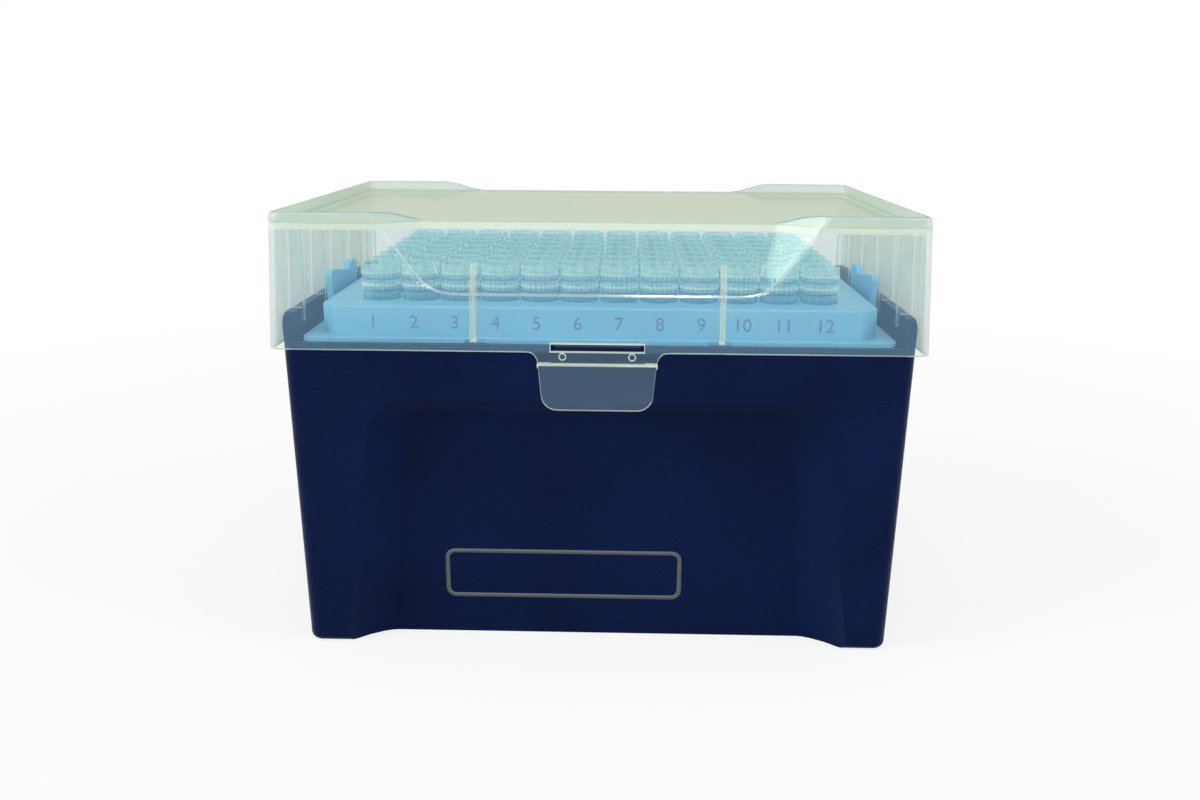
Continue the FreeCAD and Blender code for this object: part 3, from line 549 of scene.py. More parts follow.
def round_bends(mesh: Mesh, chosen: Callable[[bmesh.types.BMEdge], bool], width_mm: float,
                share: float, flat_deg: float = 0.3, steps: int = 3) -> None:
    """Round a mesh's chosen bends a little, and mark their faces for a painted pale highlight.

    Args:
        mesh: The mesh.
        chosen: Says of an edge whether it's one of the bends.
        width_mm: How far the rounding reaches to each side of the bend.
        share: Value stored as the bend's painted highlight share on the new faces; all others get 0.
        flat_deg: Faces that meet at less than this are joined first.
        steps: Faces across a rounding.
    """
    with opened(mesh) as shell:
        bmesh.ops.dissolve_limit(shell, angle_limit=math.radians(flat_deg), verts=shell.verts,
                                 edges=shell.edges)
        layer = shell.faces.layers.float.new(BEND_ATTRIBUTE)
        bends = [edge for edge in shell.edges if chosen(edge)]
        made = bmesh.ops.bevel(shell, geom=bends, offset=width_mm * MM, offset_type="OFFSET", segments=steps,
                               profile=0.5, affect="EDGES", clamp_overlap=False, loop_slide=True)
        for face in made["faces"]:
            face[layer] = share
        LOG.info("rounded %d edges of bends into %d faces", len(bends), len(made["faces"]))
        bmesh.ops.triangulate(shell, faces=shell.faces)
        order = Vector((1.0, 1.7, 2.9))  # sorted along it, the faces come in the same order on every run
        shell.faces.sort(key=lambda face: face.calc_center_median().dot(order))


def ray_tree(mesh: Mesh) -> BVHTree:
    """Return a tree that finds where rays meet a mesh."""
    return BVHTree.FromPolygons([v.co for v in mesh.vertices], [tuple(p.vertices) for p in mesh.polygons])


def mark_depth(mesh: Mesh, thin_mm: float, deep_mm: float, top_share: float = 0.12,
               inner_bend: float = 0.3) -> np.ndarray:
    """Store how much plastic lies behind each face, from 0 at a thin wall to 1 at a deep one.

    The depth is the distance from the face's middle, straight inwards, to where a line leaves the solid. For
    an upright or sloping face a level line is tried too, and the longer of the two counts. The stored value
    is (depth - thin) / (deep - thin), kept between 0 and 1, or the face's painted bend highlight share where
    that is more. The clear finish paints this value as a pale highlight, for light gathered in deep plastic.

    Args:
        mesh: The closed mesh.
        thin_mm: Depth that counts as a thin wall.
        deep_mm: Depth that counts as deep.
        top_share: How much of it a face that looks up keeps, as light leaves such a face downwards.
        inner_bend: How much of the bend's share a bend on the lid's inside, which looks back, keeps.

    Returns:
        The stored values, one for each face.
    """
    tree = ray_tree(mesh)
    skip = 0.01 * MM
    far = 10.0 * deep_mm * MM

    def depth(start: Vector, direction: Vector) -> float:
        """Return how far a ray goes, once just inside its own face."""
        hit = tree.ray_cast(start + direction * skip, direction, far)[3]
        return far if hit is None else hit

    depths = []
    for face in mesh.polygons:
        straight = depth(face.center, -face.normal)
        if abs(face.normal.z) < LOOKS_UP:
            level = Vector((-face.normal.x, -face.normal.y, 0.0)).normalized()
            straight = max(straight, depth(face.center, level))
        depths.append(straight / MM)
    share = np.clip((np.array(depths) - thin_mm) / (deep_mm - thin_mm), 0.0, 1.0)
    share[[face.normal.z > LOOKS_UP for face in mesh.polygons]] *= top_share
    if BEND_ATTRIBUTE in mesh.attributes:
        bends = np.zeros(len(mesh.polygons), np.float32)
        mesh.attributes[BEND_ATTRIBUTE].data.foreach_get("value", bends)
        bends[[face.normal.y > 0.0 for face in mesh.polygons]] *= inner_bend
        share = np.maximum(share, bends)
    set_faces(mesh, DEPTH_AND_HIGHLIGHT_ATTRIBUTE, share)
    return share


def grid_faces(rows: int, columns: int) -> np.ndarray:
    """Return the quads of a grid whose rows and columns both wrap round.

    Args:
        rows: Points along the profile.
        columns: Points round the axis.

    Returns:
        An array of vertex numbers, four to a face.
    """
    here = np.arange(rows * columns).reshape(rows, columns)
    below = np.roll(here, -1, axis=0)
    quads = np.stack([here, np.roll(here, -1, axis=1), np.roll(below, -1, axis=1), below], axis=-1)
    return quads.reshape(-1, 4)


def mesh_from_arrays(name: str, points: np.ndarray, faces: np.ndarray) -> Mesh:
    """Make a mesh from whole arrays.

    Args:
        name: Name of the mesh.
        points: Vertices in millimetres, three to a row.
        faces: Vertex numbers, the same count in each row.

    Returns:
        The mesh, in metres.
    """
    mesh = bpy.data.meshes.new(name)
    mesh.vertices.add(len(points))
    mesh.vertices.foreach_set("co", (points * MM).astype(np.float32).ravel())
    mesh.loops.add(faces.size)
    mesh.loops.foreach_set("vertex_index", faces.astype(np.int32).ravel())
    mesh.polygons.add(len(faces))
    mesh.polygons.foreach_set("loop_start", np.arange(0, faces.size, faces.shape[1], dtype=np.int32))
    mesh.update(calc_edges=True)
    mesh.validate()
    return mesh


def bell(place: np.ndarray, centre: float, half: float, power: int = 2) -> np.ndarray:
    """Return a bell curve, 1 at its centre: e to the minus power of the distance in half widths."""
    return np.exp(-((place - centre) / half) ** power)


# ---- tub and rack, each with a print on its front
@dataclass(frozen=True)
class Panel:
    """A flat panel of a mesh, seen from the front, on which print lies."""

    turn: float  # change of Y for each step in X
    slope: float  # change of Y for each step up in Z
    start: float  # Y at X = 0 and Z = 0, in millimetres

    @classmethod
    def behind(cls, mesh: Mesh, x: float, z: float, reach: float, ahead: float = 200.0) -> "Panel":
        """Find the panel by three rays from the front, as Y = turn X + slope Z + start at each hit.

        Args:
            mesh: The mesh that has the panel.
            x: Middle of the three rays across.
            z: Middle of the three rays in height.
            reach: How far apart the rays are.
            ahead: How far in front of the origin they start.

        Returns:
            The panel.
        """
        tree = ray_tree(mesh)
        spots = [(x - reach, z - reach, 1.0), (x + reach, z - reach, 1.0), (x, z + reach, 1.0)]
        hits = [tree.ray_cast(Vector((spot_x, -ahead, spot_z)) * MM, Vector((0.0, 1.0, 0.0)))[0]
                for spot_x, spot_z, _ in spots]
        return cls(*np.linalg.solve(spots, [hit.y / MM for hit in hits]))

    def lay(self, flat: np.ndarray) -> np.ndarray:
        """Turn rows of (X, height above the panel, Z) into points: Y is the panel's plane less the height."""
        x, height, z = flat.T
        return np.stack([x, self.start + self.turn * x + self.slope * z - height, z], axis=1)


@dataclass(frozen=True)
class OutlinedField:
    """A plain writing field: the printed outline of a rectangle with round corners."""

    name: str
    middle: tuple[float, float]
    size: tuple[float, float]
    corner_r: float
    line: float
    film: float = 0.03
    corner_steps: int = 8

    def outline(self, inset: float) -> np.ndarray:
        """Work out the rounded rectangle's outline: a quarter turn about each corner's middle.

        Args:
            inset: How far the outline is moved inwards.

        Returns:
            Rows of (X, Z).
        """
        half = np.array(self.size) / 2.0 - self.corner_r
        quarter = np.linspace(0.0, math.pi / 2.0, self.corner_steps)
        corners = []
        for index, sides in enumerate(((1, 1), (-1, 1), (-1, -1), (1, -1))):
            turn = quarter + index * math.pi / 2.0
            arc = (self.corner_r - inset) * np.stack([np.cos(turn), np.sin(turn)], axis=1)
            corners.append(self.middle + sides * half + arc)
        return np.concatenate(corners)

    def draw(self, panel: Panel) -> Mesh:
        """Draw the field on a panel.

        Args:
            panel: Where it is printed.

        Returns:
            A closed thin band.
        """
        loops = [np.insert(self.outline(inset), 1, height, axis=1)
                 for inset, height in ((0.0, self.film), (self.line, self.film),
                                       (self.line, -self.film), (0.0, -self.film))]
        return mesh_from_arrays(self.name, panel.lay(np.concatenate(loops)),
                                grid_faces(len(loops), len(loops[0])))


@dataclass(frozen=True)
class NumberRow:
    """Plain numbers, printed in a row at an even pitch."""

    name: str
    middle: tuple[float, float]
    count: int
    pitch: float
    height: float  # of the digits
    film: float = 0.03
    digit_share: float = 0.7  # a digit's height as a share of its font's size
    curve_steps: int = 4
    weld: float = 0.0005

    def draw(self, panel: Panel) -> Mesh:
        """Draw the numbers on a panel.

        Args:
            panel: Where they are printed.

        Returns:
            All the numbers as one mesh.
        """
        mesh = bpy.data.meshes.new(self.name)
        foot_z = self.middle[1] - self.height / 2.0
        with opened(mesh) as shell:
            for index in range(self.count):
                curve = bpy.data.curves.new("digits", "FONT")
                curve.body = str(index + 1)
                curve.size = self.height / self.digit_share
                curve.align_x = "CENTER"
                curve.extrude = self.film
                curve.resolution_u = self.curve_steps
                letter = bpy.data.objects.new("digits", curve)
                flat = bpy.data.meshes.new_from_object(letter)
                x = self.middle[0] + (index - (self.count - 1) / 2.0) * self.pitch
                upright = Matrix.Rotation(math.pi / 2.0, 4, "X")
                flat.transform(Matrix.Translation((x, 0.0, foot_z)) @ upright)
                shell.from_mesh(flat)
                bpy.data.objects.remove(letter)
                bpy.data.curves.remove(curve)
                bpy.data.meshes.remove(flat)
            bmesh.ops.remove_doubles(shell, verts=shell.verts, dist=self.weld)
            bmesh.ops.recalc_face_normals(shell, faces=shell.faces)
        points = np.empty(len(mesh.vertices) * 3)
        mesh.vertices.foreach_get("co", points)
        raised = points.reshape(-1, 3) * (1.0, -1.0, 1.0)
        mesh.vertices.foreach_set("co", (panel.lay(raised) * MM).astype(np.float32).ravel())
        mesh.update()
        return mesh


@dataclass
class PrintedMoulding:
    """A moulding of one colour, with one print on its front."""

    shell: Redrawn
    finish: GrainedPolypropylene
    mark: OutlinedField | NumberRow
    ink: PadPrint
    ray_reach: float  # of the rays round the print's middle that find its panel

    def build(self, frame: Frame) -> list[Object]:
        """Make the moulding and its print.


        Returns:
            The two pieces.
        """
        moulding = self.shell.build(frame, self.finish.build())
        panel = Panel.behind(moulding.data, *self.mark.middle, reach=self.ray_reach)
        return [moulding, finished_object(self.mark.name, self.mark.draw(panel), self.ink.build(),
                                          self.shell.body)]


@dataclass
class Tub(PrintedMoulding):
    """The navy base that the rack sits in, with its grip recesses, end walls and hinge cheeks."""

    shell: Redrawn = Redrawn("base", "tub", Body.BOX, Slot.BASE, sharp_deg=32.0)
    finish: GrainedPolypropylene = NAVY
    mark: OutlinedField = OutlinedField("writing_field", middle=(-8.0, 15.5), size=(56.0, 12.5),
                                        corner_r=2.4, line=1.0)
    ink: PadPrint = GREY_INK
    ray_reach: float = 5.0


@dataclass
class Rack(PrintedMoulding):
    """The sky-blue rack with its raised block and lifting tabs."""

    shell: Redrawn = Redrawn("rack", "tip_rack", Body.BOX, Slot.RACK, sharp_deg=32.0)
    finish: GrainedPolypropylene = SKY
    mark: NumberRow = NumberRow("column_numbers", middle=(0.0, 77.05), count=12, pitch=9.0, height=2.9)
    ink: PadPrint = RACK_INK
    ray_reach: float = 1.5


# ---- tips
@dataclass(frozen=True)
class Bands:
    """Beads or grooves of one section round a tip's collar."""

    rises: tuple[float, float]  # of their middles above the rack
    half: float  # half their width
    proud: float  # below 0 for a groove
    steepness: float

    def added_radius(self, rise: np.ndarray) -> np.ndarray:
        """Return what the bands add to a radius: a bell curve with a flat top for each."""
        return sum(self.proud * bell(rise, centre, self.half / self.steepness, 4) for centre in self.rises)

    def section_rises(self, steps: tuple[float, ...] = (-1.0, -0.62, -0.3, 0.3, 0.62, 1.0)) -> np.ndarray:
        """Return the heights that their section needs, each at a step in half widths from a middle."""
        return (np.array(self.rises)[:, None] + np.array(steps) * self.half).ravel()


@dataclass
class TipRows:
    """The ninety-six hanging tips, one piece for each column."""

    length: float = 80.0
    collar_height: float = 8.0
    collar_r: float = 4.22
    beads: Bands = Bands(rises=(3.3, 6.05), half=0.32, proud=0.12, steepness=1.6)
    grooves: Bands = Bands(rises=(2.0, 4.7), half=0.36, proud=-0.30, steepness=1.3)
    foot_step: float = 0.12
    rib_count: int = 24
    upper_rib: float = 0.4  # the ribs are fainter above the upper bead
    rib_proud: float = 0.10
    lip_round: float = 0.18
    lip_steps: int = 3
    mouth_r: float = 3.75
    mouth_depth: float = 2.4
    mouth_chamfer: tuple[float, float] = (0.08, 0.15)  # outwards and down
    neck_r: float = 3.70
    waist: tuple[float, float] = (3.05, -30.0)
    shank: tuple[float, float] = (0.95, -62.0)
    end_r: float = 0.50
    wall: float = 0.45
    end_wall: float = 0.22
    segments_per_rib: int = 4
    # shares of painted shade over the foot and of painted highlight at the lip
    foot_painted_shade: float = 0.3
    lip_painted_highlight: float = 0.4
    sharp_deg: float = 40.0
    finish: ClearMoulding = TIP_CLEAR
    prefix: str = "tip_socket_c"

    @cached_property
    def section(self) -> tuple[np.ndarray, np.ndarray]:
        """Work out the closed half section of one tip.

        The collar's radius is a plain one with the beads and grooves on it, and a little less below the first
        groove.

        Returns:
            Rows of (radius, height above the rack), from the end up the outside and down the inside, and for
            each row how much of the collar's upright ribs it carries, from 0 to 1.
        """
        rise = np.sort(np.concatenate([[0.0, self.collar_height - self.lip_round],
                                       self.beads.section_rises(), self.grooves.section_rises()]))
        radius = self.collar_r + self.beads.added_radius(rise) + self.grooves.added_radius(rise)
        radius -= self.foot_step * (rise < self.grooves.rises[0])
        collar = np.stack([radius, rise], axis=1)
        turn = np.linspace(0.0, math.pi / 2.0, self.lip_steps + 1)[1:]
        lip_r = self.collar_r - self.lip_round
        lip = np.stack([lip_r + self.lip_round * np.cos(turn),
                        self.collar_height - self.lip_round * (1.0 - np.sin(turn))], axis=1)
        end_z = self.collar_height - self.length
        below = np.array([(self.end_r, end_z), self.shank, self.waist, (self.neck_r, 0.0)])
        bore = below[::-1] - np.outer([self.wall] * 3 + [self.end_wall], (1.0, 0.0))
        outwards, down = self.mouth_chamfer
        mouth = np.array([(self.mouth_r + outwards, self.collar_height),
                          (self.mouth_r, self.collar_height - down),
                          (self.mouth_r, self.collar_height - self.mouth_depth)])
        ribbed = np.repeat([0.0, 1.0, 0.0], [len(below), len(collar), len(lip) + len(mouth) + len(bore)])
        return np.concatenate([below, collar, lip, mouth, bore]), ribbed

    @cached_property
    def ribs(self) -> np.ndarray:
        """Work out the pattern of the collar's upright ribs, fainter above the upper bead.

        Returns:
            How much of a rib each vertex of one tip carries, a row for each row of the section.
        """
        rows, ribbed = self.section
        on_rib = np.arange(self.rib_count * self.segments_per_rib) % self.segments_per_rib == 0
        strength = ribbed * np.where(rows[:, 1] > self.beads.rises[1], self.upper_rib, 1.0)
        return strength[:, None] * on_rib[None, :]

    def shading(self) -> tuple[np.ndarray, np.ndarray]:
        """Work out where a tip gets painted highlights, and painted shade in the rack's blue.

        Along the profile, a bell curve at each bead and at the lip is a painted pale highlight, and one at
        each groove and at the foot's lower edge is painted shade in blue, as is a share of all the foot below
        the first groove. Round the axis, the upright ribs get painted highlights, most of all below the upper
        bead.

        Returns:
            The painted highlight share and the painted blue shade share of each vertex of one tip.
        """
        rows, ribbed = self.section
        rise = rows[:, 1]
        pale = np.zeros(len(rows))
        blue = ((rise < self.grooves.rises[0]) & (ribbed > 0)) * self.foot_painted_shade
        for centre in (*self.beads.rises, self.collar_height):
            curve = bell(rise, centre, self.beads.half) * (rows[:, 0] > self.mouth_r)
            pale = np.maximum(pale, curve * (self.lip_painted_highlight if centre == self.collar_height else 1.0))
        for centre in (0.0, *self.grooves.rises):
            blue = np.maximum(blue, bell(rise, centre, self.grooves.half) * (ribbed > 0))
        ribs = self.ribs * (1.0 - blue)[:, None]
        return np.maximum(pale[:, None], ribs).ravel(), np.repeat(blue, ribs.shape[1])

    def tip(self) -> tuple[np.ndarray, np.ndarray]:
        """Work out one tip on the Z axis, with its collar's foot at height 0.

        The half section (r, z) turns round the axis: x = R cos a, y = R sin a, where R is r, plus a rib's
        height wherever the angle a is a whole share of the turn.

        Returns:
            The vertices and the quads.
        """
        rows = self.section[0]
        count = self.ribs.shape[1]
        angle = np.arange(count) * 2.0 * math.pi / count
        radius = rows[:, :1] + self.rib_proud * self.ribs
        points = np.stack([radius * np.cos(angle), radius * np.sin(angle),
                           np.repeat(rows[:, 1:], count, axis=1)], axis=-1)
        return points.reshape(-1, 3), grid_faces(len(rows), count)

    def places(self, record: dict[str, Any]) -> dict[str, np.ndarray]:
        """Read the tips' places from the record's sockets.

        Args:
            record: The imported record.

        Returns:
            For each column's number, the middles of its tips at the collar's foot, in millimetres.
        """
        columns: dict[str, list[list[float]]] = {}
        for mount in record["mounts"]:
            if mount["name"].startswith(self.prefix):
                number = mount["name"][len(self.prefix):].split("_")[0]
                columns.setdefault(number, []).append(mount["pos_m"])
        drop = self.collar_height - self.mouth_depth / 2.0
        return {number: np.array(places) / MM - (0.0, 0.0, drop) for number, places in columns.items()}

    def build(self, frame: Frame) -> list[Object]:
        """Make one piece for each column of tips.


        Returns:
            The pieces.
        """
        points, quads = self.tip()
        pale, blue = self.shading()
        material = self.finish.build()
        pieces = []
        for number, places in sorted(self.places(frame["record"]).items()):
            every_point = (places[:, None, :] + points[None, :, :]).reshape(-1, 3)
            offsets = np.arange(len(places))[:, None, None] * len(points)
            every_quad = (quads[None, :, :] + offsets).reshape(-1, 4)
            mesh = mesh_from_arrays("tips_" + number, every_point, every_quad)
            smooth_by_angle(mesh, self.sharp_deg)
            for name, values in ((DEPTH_AND_HIGHLIGHT_ATTRIBUTE, pale), (PAINTED_BLUE_ATTRIBUTE, blue)):
                set_faces(mesh, name, np.tile(values, len(places)), "POINT")
            piece = finished_object("tips_" + number, mesh, material, Body.BOX)
            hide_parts("tip_column_" + number)
            pieces.append(piece)
        return pieces


# ---- lid
@dataclass
class Lid:
    """The clear lid with its stacking curbs, front scoop, inner ribs, tongue and hinge pins."""

    shell: Redrawn = Redrawn("lid", "clear_lid", Body.LID, Slot.LID, sharp_deg=30.0)
    flap: Redrawn = Redrawn("latch_flap", "thumb_flap", Body.FLAP, Slot.LID, sharp_deg=30.0)
    half_x: float = 70.99
    half_y: float = 49.0
    foot_z: float = 72.1
    roof_z: float = 98.9
    wall: float = 1.2
    draft_deg: float = 2.5
    front_rib_x: float = 26.6
    front_rib_width: float = 1.2
    front_rib_z: tuple[float, float] = (74.1, 90.6)
    front_facing: float = 0.8  # Y of their fronts' normals, at least
    rib_line: float = 0.18  # width of the painted highlight line down each edge of a front rib
    rib_line_share: float = 0.55
    rib_share: float = 0.3  # and of the face between them
    end_rib_x: float = 66.0
    end_rib_zone: tuple[float, float] = (2.0, 6.0)  # inwards of end_rib_x, and of the front and rear walls
    end_rib_pitch: float = 18.0
    end_rib_width: float = 1.1
    end_rib_steps: tuple[int, ...] = (-2, -1, 0, 1, 2)
    rib_facing: float = 0.95  # Y of its sides' normals, at least
    tooth_x: float = 67.02  # outer side of the tooth below each end rib
    tooth_top_z: float = 78.9
    tooth_line: float = 0.2  # width of the painted highlight line round an end rib's inner edge and tooth
    tooth_line_z: float = 76.3
    outline_share: float = 0.85
    pip_x: float = 7.45
    pip_drop: float = 0.85
    pip_r: float = 0.72
    pip_thickness: float = 0.13
    pip_share: float = 0.7
    scoop_foot_z: float = 83.8  # the scoop's bends lie above this
    scoop_top_z: float = 98.95
    scoop_half_x: float = 48.5
    scoop_back_y: float = -38.0
    bend_deg: tuple[float, float] = (10.0, 60.0)
    bend_mm: float = 0.3
    bend_share: float = 0.34
    curb_rise: float = 0.05  # faces this far above the roof belong to a curb
    curb_share: float = 0.45
    curb_front: float = 0.22  # of a curb's front
    crest_rise: float = 0.3
    crest_front_y: float = -40.4  # the front curbs, with their crests, lie ahead of this
    crest_tilt: float = 0.9
    slot_half_x: float = 10.2  # the slot's thickened rim, painted with a pale highlight, lies within these
    slot_z: tuple[float, float] = (72.1, 74.1)
    slot_depth: float = 2.0
    slot_share: float = 0.9
    tongue_clear: float = 0.6  # the tongue is thinner than the walls, so less milky
    bead_z: float = 68.6  # flap's bead lies above this
    bead_share: float = 0.7
    thin_mm: float = 1.6
    deep_mm: float = 14.0
    finish: ClearMoulding = LID_CLEAR
    flap_finish: ClearMoulding = FLAP_CLEAR

    def wall_planes(self) -> list[Plane]:
        """List the planes of the walls' inner faces, the roof's two faces, and the ribs' sides and lines.

        Returns:
            The planes.
        """
        tilt = Vector((math.cos(math.radians(self.draft_deg)), math.sin(math.radians(self.draft_deg))))
        end_lines = (self.end_rib_x, self.end_rib_x + self.tooth_line, self.tooth_x - self.tooth_line)
        planes = [square_plane(2, self.roof_z), square_plane(2, self.roof_z - self.wall)]
        for side in SIDES:
            planes += [square_plane(0, side * self.slot_half_x),
                       (Vector((side * (self.half_x - self.wall), 0.0, self.foot_z)),
                        Vector((side * tilt.x, 0.0, tilt.y))),
                       (Vector((0.0, side * (self.half_y - self.wall), self.foot_z)),
                        Vector((0.0, side * tilt.x, tilt.y)))]
            planes += [square_plane(0, side * x) for x in end_lines]
            planes += [square_plane(0, side * self.front_rib_x + edge * (self.front_rib_width - 2.0 * inset))
                       for edge in EDGES for inset in (0.0, self.rib_line)]
        planes += [square_plane(2, z)
                   for z in (self.foot_z, self.tooth_line_z, self.tooth_top_z, *self.front_rib_z)]
        planes += [square_plane(1, step * self.end_rib_pitch + edge * self.end_rib_width)
                   for step in self.end_rib_steps for edge in EDGES]
        return planes

    def is_scoop_bend(self, edge: bmesh.types.BMEdge) -> bool:
        """Say whether an edge is a bend round the scoop, on the lid's outside or its inside.

        Args:
            edge: The edge.

        Returns:
            True if it is one.
        """
        low, high = self.bend_deg
        return (len(edge.link_faces) == 2 and low < math.degrees(edge.calc_face_angle()) < high
                and all(self.scoop_foot_z * MM < vert.co.z < self.scoop_top_z * MM
                        and vert.co.y < self.scoop_back_y * MM
                        and abs(vert.co.x) < self.scoop_half_x * MM for vert in edge.verts))

    def shape_lid(self, mesh: Mesh) -> None:
        """Round the scoop's bends, and mark the ribs, curbs, slot and tongue, each on faces of its own.

        Painted highlight lines go down the front ribs' edges and round the end ribs' inner edges and teeth.
        The curbs and the slot's rim get a painted pale highlight all over, the curbs' crests in front get a
        painted refraction of the rack's blue, and the end ribs' sides are clear.

        Args:
            mesh: The lid's mesh.
        """
        round_bends(mesh, self.is_scoop_bend, self.bend_mm, self.bend_share)
        split_along(mesh, self.wall_planes())
        share = mark_depth(mesh, self.thin_mm, self.deep_mm)
        centre = np.array([face.center for face in mesh.polygons]) / MM
        normal_y, normal_z = np.array([face.normal[1:] for face in mesh.polygons]).T
        x, y, z = np.abs(centre[:, 0]), centre[:, 1], centre[:, 2]
        from_edge = self.front_rib_width / 2.0 - np.abs(x - self.front_rib_x)
        on_rib = (from_edge > 0.0) & (np.abs(normal_y) > self.front_facing) & (y < 0.0)
        on_rib &= (z > self.front_rib_z[0]) & (z < self.front_rib_z[1])
        line = on_rib & (from_edge < self.rib_line)
        curb = z > self.roof_z + self.curb_rise
        crest = (z > self.roof_z + self.crest_rise) & (y < self.crest_front_y) & (normal_z > self.crest_tilt)
        rim = (x < self.slot_half_x) & (z > self.slot_z[0]) & (z < self.slot_z[1])
        rim &= y < self.slot_depth - self.half_y
        side = (np.abs(normal_y) > self.rib_facing) & (x > self.end_rib_x - self.end_rib_zone[0])
        side &= np.abs(y) < self.half_y - self.end_rib_zone[1]
        tooth = (z < self.tooth_top_z) & ((x > self.tooth_x - self.tooth_line) | (z < self.tooth_line_z))
        outline = side & (normal_y < 0.0) & (x > self.end_rib_x) & (x < self.tooth_x)
        outline &= (x < self.end_rib_x + self.tooth_line) | tooth
        # painted pale highlights on the rib lines and faces, the curbs, the slot's rim and the end ribs'
        # outlines
        for marked in (np.where(line, self.rib_line_share, on_rib * self.rib_share),
                       curb * np.where(normal_y < -LOOKS_UP, self.curb_front, self.curb_share),
                       rim * self.slot_share, outline * self.outline_share):
            share = np.maximum(share, marked)
        set_faces(mesh, DEPTH_AND_HIGHLIGHT_ATTRIBUTE, share)
        # painted refraction of the rack's blue on the front curbs' crests
        set_faces(mesh, PAINTED_BLUE_ATTRIBUTE, crest.astype(float))
        tongue = (z < self.foot_z) & (y < 0.0)
        set_faces(mesh, CLEAR_ATTRIBUTE, np.maximum(side * 1.0, tongue * self.tongue_clear))

    def shape_flap(self, mesh: Mesh) -> None:
        """Mark the thumb flap's depth, and paint a pale highlight on its bead at the crease."""
        bead = [(face.center.z > self.bead_z * MM) * self.bead_share for face in mesh.polygons]
        set_faces(mesh, DEPTH_AND_HIGHLIGHT_ATTRIBUTE, np.maximum(mark_depth(mesh, self.thin_mm, self.deep_mm), bead))

    def pip_ring(self, side: float, rings: int = 12, steps: int = 32) -> tuple[np.ndarray, np.ndarray]:
        """Work out one raised ring mark below the latch window.

        It is a torus: a circle of the ring's radius lies in the front wall's plane, and a small circle sweeps
        along it. The wall's plane leans back by the draft, so height z lies at y = z tan(draft).

        Args:
            side: -1 for the left ring, 1 for the right one.
            rings: Points round the small circle.
            steps: Points round the large circle.

        Returns:
            The vertices and the quads.
        """
        small = np.arange(rings)[:, None] * 2.0 * math.pi / rings
        large = np.arange(steps)[None, :] * 2.0 * math.pi / steps
        radius = self.pip_r + self.pip_thickness * np.cos(small)
        x = side * self.pip_x + radius * np.cos(large)
        z = radius * np.sin(large) - self.pip_drop
        out = -self.pip_thickness * np.sin(small)
        lean = math.tan(math.radians(self.draft_deg))
        points = np.stack([x, out - self.half_y + z * lean, z + self.foot_z], axis=-1)
        return points.reshape(-1, 3), grid_faces(rings, steps)

    def build(self, frame: Frame) -> list[Object]:
        """Make the lid, its thumb flap and its ring marks.


        Returns:
            The pieces.
        """
        material = self.finish.build()
        pieces = [self.shell.build(frame, material, self.shape_lid),
                  self.flap.build(frame, self.flap_finish.build(), self.shape_flap)]
        for name, side in zip(("ring_mark_left", "ring_mark_right"), SIDES):
            mesh = mesh_from_arrays(name, *self.pip_ring(side))
            mesh.shade_smooth()
            # painted pale highlight over the whole ring mark
            set_faces(mesh, DEPTH_AND_HIGHLIGHT_ATTRIBUTE, np.full(len(mesh.polygons), self.pip_share))
            pieces.append(finished_object(name, mesh, material, Body.LID))
        return pieces


# ---- studio
@dataclass(frozen=True)
class Lamp:
    """One soft rectangular lamp that looks at the box's middle."""

    name: str
    place: tuple[float, float, float]  # millimetres
    size: tuple[float, float]  # millimetres
    power: float  # watts
    colour: str = "FFFFFF"
    only_mirrored: bool = False  # seen in glossy surfaces without lighting anything

    def build(self, aim: Vector) -> None:
        """Make the lamp, turned towards a point.

        Args:
            aim: The point, in millimetres.
        """
        data = bpy.data.lights.new(self.name, "AREA")
        data.shape = "RECTANGLE"
        data.size, data.size_y = self.size[0] * MM, self.size[1] * MM
        data.energy = self.power
        data.color = linear(self.colour)[:3]
        item = placed(self.name, data)
        item.location = Vector(self.place) * MM
        item.visible_diffuse = not self.only_mirrored
        item.rotation_euler = (aim - Vector(self.place)).normalized().to_track_quat("-Z", "Y").to_euler()


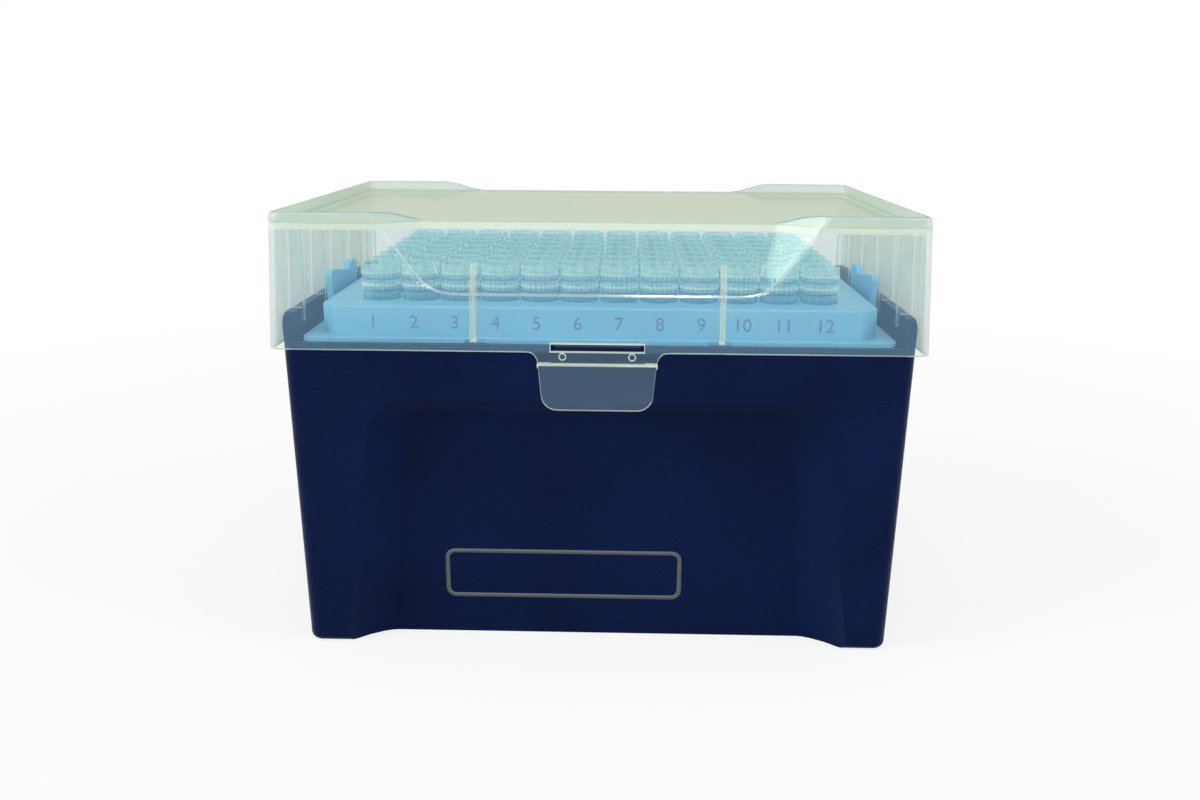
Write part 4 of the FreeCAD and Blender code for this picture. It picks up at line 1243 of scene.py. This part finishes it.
@dataclass
class Studio:
    """Pale floor, soft lamps, white surroundings and the camera."""

    camera_place: tuple[float, float, float] = (5.6, -275.0, 123.7)
    camera_yaw_deg: float = -1.25
    camera_pitch_deg: float = 15.32  # downwards
    camera_roll_deg: float = 0.40
    camera_lens_mm: float = 32.565
    camera_sensor_mm: float = 36.0
    camera_clip_m: tuple[float, float] = (0.01, 50.0)
    floor_half: float = 4000.0
    floor_colour: str = "F2F2F2"
    floor_white_near: float = 0.8  # white laid over the floor's own look beside the box
    floor_fade: tuple[float, float] = (150.0, 420.0)  # from there to plain white
    world_strength: float = 0.34
    see_through_layers: int = 40  # faces of clear plastic that one line of sight may cross
    aim: tuple[float, float, float] = (0.0, 0.0, 55.0)
    lamps: tuple[Lamp, ...] = field(default_factory=lambda: (
        Lamp("overhead_lamp", (0.0, -150.0, 900.0), (900.0, 700.0), 3.0),
        Lamp("left_lamp", (-1600.0, -700.0, 650.0), (800.0, 1200.0), 20.5),
        Lamp("right_lamp", (1600.0, -500.0, 550.0), (800.0, 1200.0), 13.5),
        Lamp("front_lamp", (0.0, -1200.0, 700.0), (1200.0, 500.0), 1.3),
        Lamp("high_left_window", (-731.0, -604.0, 808.0), (620.0, 400.0), 7.6, "F4FFF4", True),
        Lamp("warm_window", (60.0, -1000.0, 440.0), (95.0, 380.0), 7.5, "FFE6D8", True),
    ))

    def add_camera(self) -> None:
        """Make the camera, which looks along its yaw and pitch and is turned a little about its own axis."""
        data = bpy.data.cameras.new("camera")
        data.lens = self.camera_lens_mm
        data.sensor_width = self.camera_sensor_mm
        data.clip_start, data.clip_end = self.camera_clip_m
        camera = placed("camera", data)
        turn = Matrix.Rotation(math.radians(-self.camera_yaw_deg), 4, "Z")
        turn @= Matrix.Rotation(math.radians(90.0 - self.camera_pitch_deg), 4, "X")
        turn @= Matrix.Rotation(math.radians(self.camera_roll_deg), 4, "Z")
        camera.matrix_world = Matrix.Translation(Vector(self.camera_place) * MM) @ turn
        bpy.context.scene.camera = camera

    def add_world(self) -> None:
        """Surround the scene with white that lights it softly."""
        world = bpy.data.worlds.new("white_room")
        bpy.context.scene.world = world
        sheet = NodeSheet(world)
        strength = sheet.add("MapRange", {"Value": sheet.seen(), "To Min": self.world_strength})
        sheet.finish(sheet.add("Background", {"Color": WHITE, "Strength": strength}))

    def add_floor(self) -> None:
        """Lay the pale floor, which looks nearly white and keeps a faint shadow."""
        corners = np.array([(-1.0, -1.0, 0.0), (1.0, -1.0, 0.0), (1.0, 1.0, 0.0), (-1.0, 1.0, 0.0)])
        mesh = mesh_from_arrays("studio_floor", corners * self.floor_half, np.array([[0, 1, 2, 3]]))
        material = bpy.data.materials.new("white_paper_floor")
        sheet = NodeSheet(material)
        matt = sheet.add("BsdfDiffuse", {"Color": linear(self.floor_colour)})
        glow = sheet.add("Emission", {"Color": WHITE, "Strength": 1.0})
        place = sheet.add("TexCoord", out="Object")
        distance = sheet.add("VectorMath", {0: place}, out="Value", operation="LENGTH")
        whiteness = sheet.add("MapRange", {"Value": distance, "From Min": self.floor_fade[0] * MM,
                                           "From Max": self.floor_fade[1] * MM,
                                           "To Min": self.floor_white_near})
        white = sheet.add("Math", {0: sheet.seen(), 1: whiteness}, operation="MULTIPLY")
        sheet.finish(sheet.add("MixShader", {0: white, 1: matt, 2: glow}))
        mesh.materials.append(material)
        floor = placed("studio_floor", mesh)

    def build(self) -> None:
        """Set up the whole studio."""
        scene = bpy.context.scene
        scene.view_settings.view_transform = "Standard"
        scene.cycles.transparent_max_bounces = self.see_through_layers
        self.add_camera()
        self.add_world()
        for lamp in self.lamps:
            lamp.build(Vector(self.aim))
        self.add_floor()


def main() -> None:
    """Build the studio and every sub-assembly, and report each piece."""
    logging.basicConfig(level=logging.INFO, format="%(name)s: %(message)s")
    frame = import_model()
    Studio().build()
    for assembly in (Tub(), Rack(), TipRows(), Lid()):
        for piece in assembly.build(frame):
            LOG.info("%s: %s, %d faces", type(assembly).__name__, piece.name, len(piece.data.polygons))


if __name__ == "__main__":
    main()
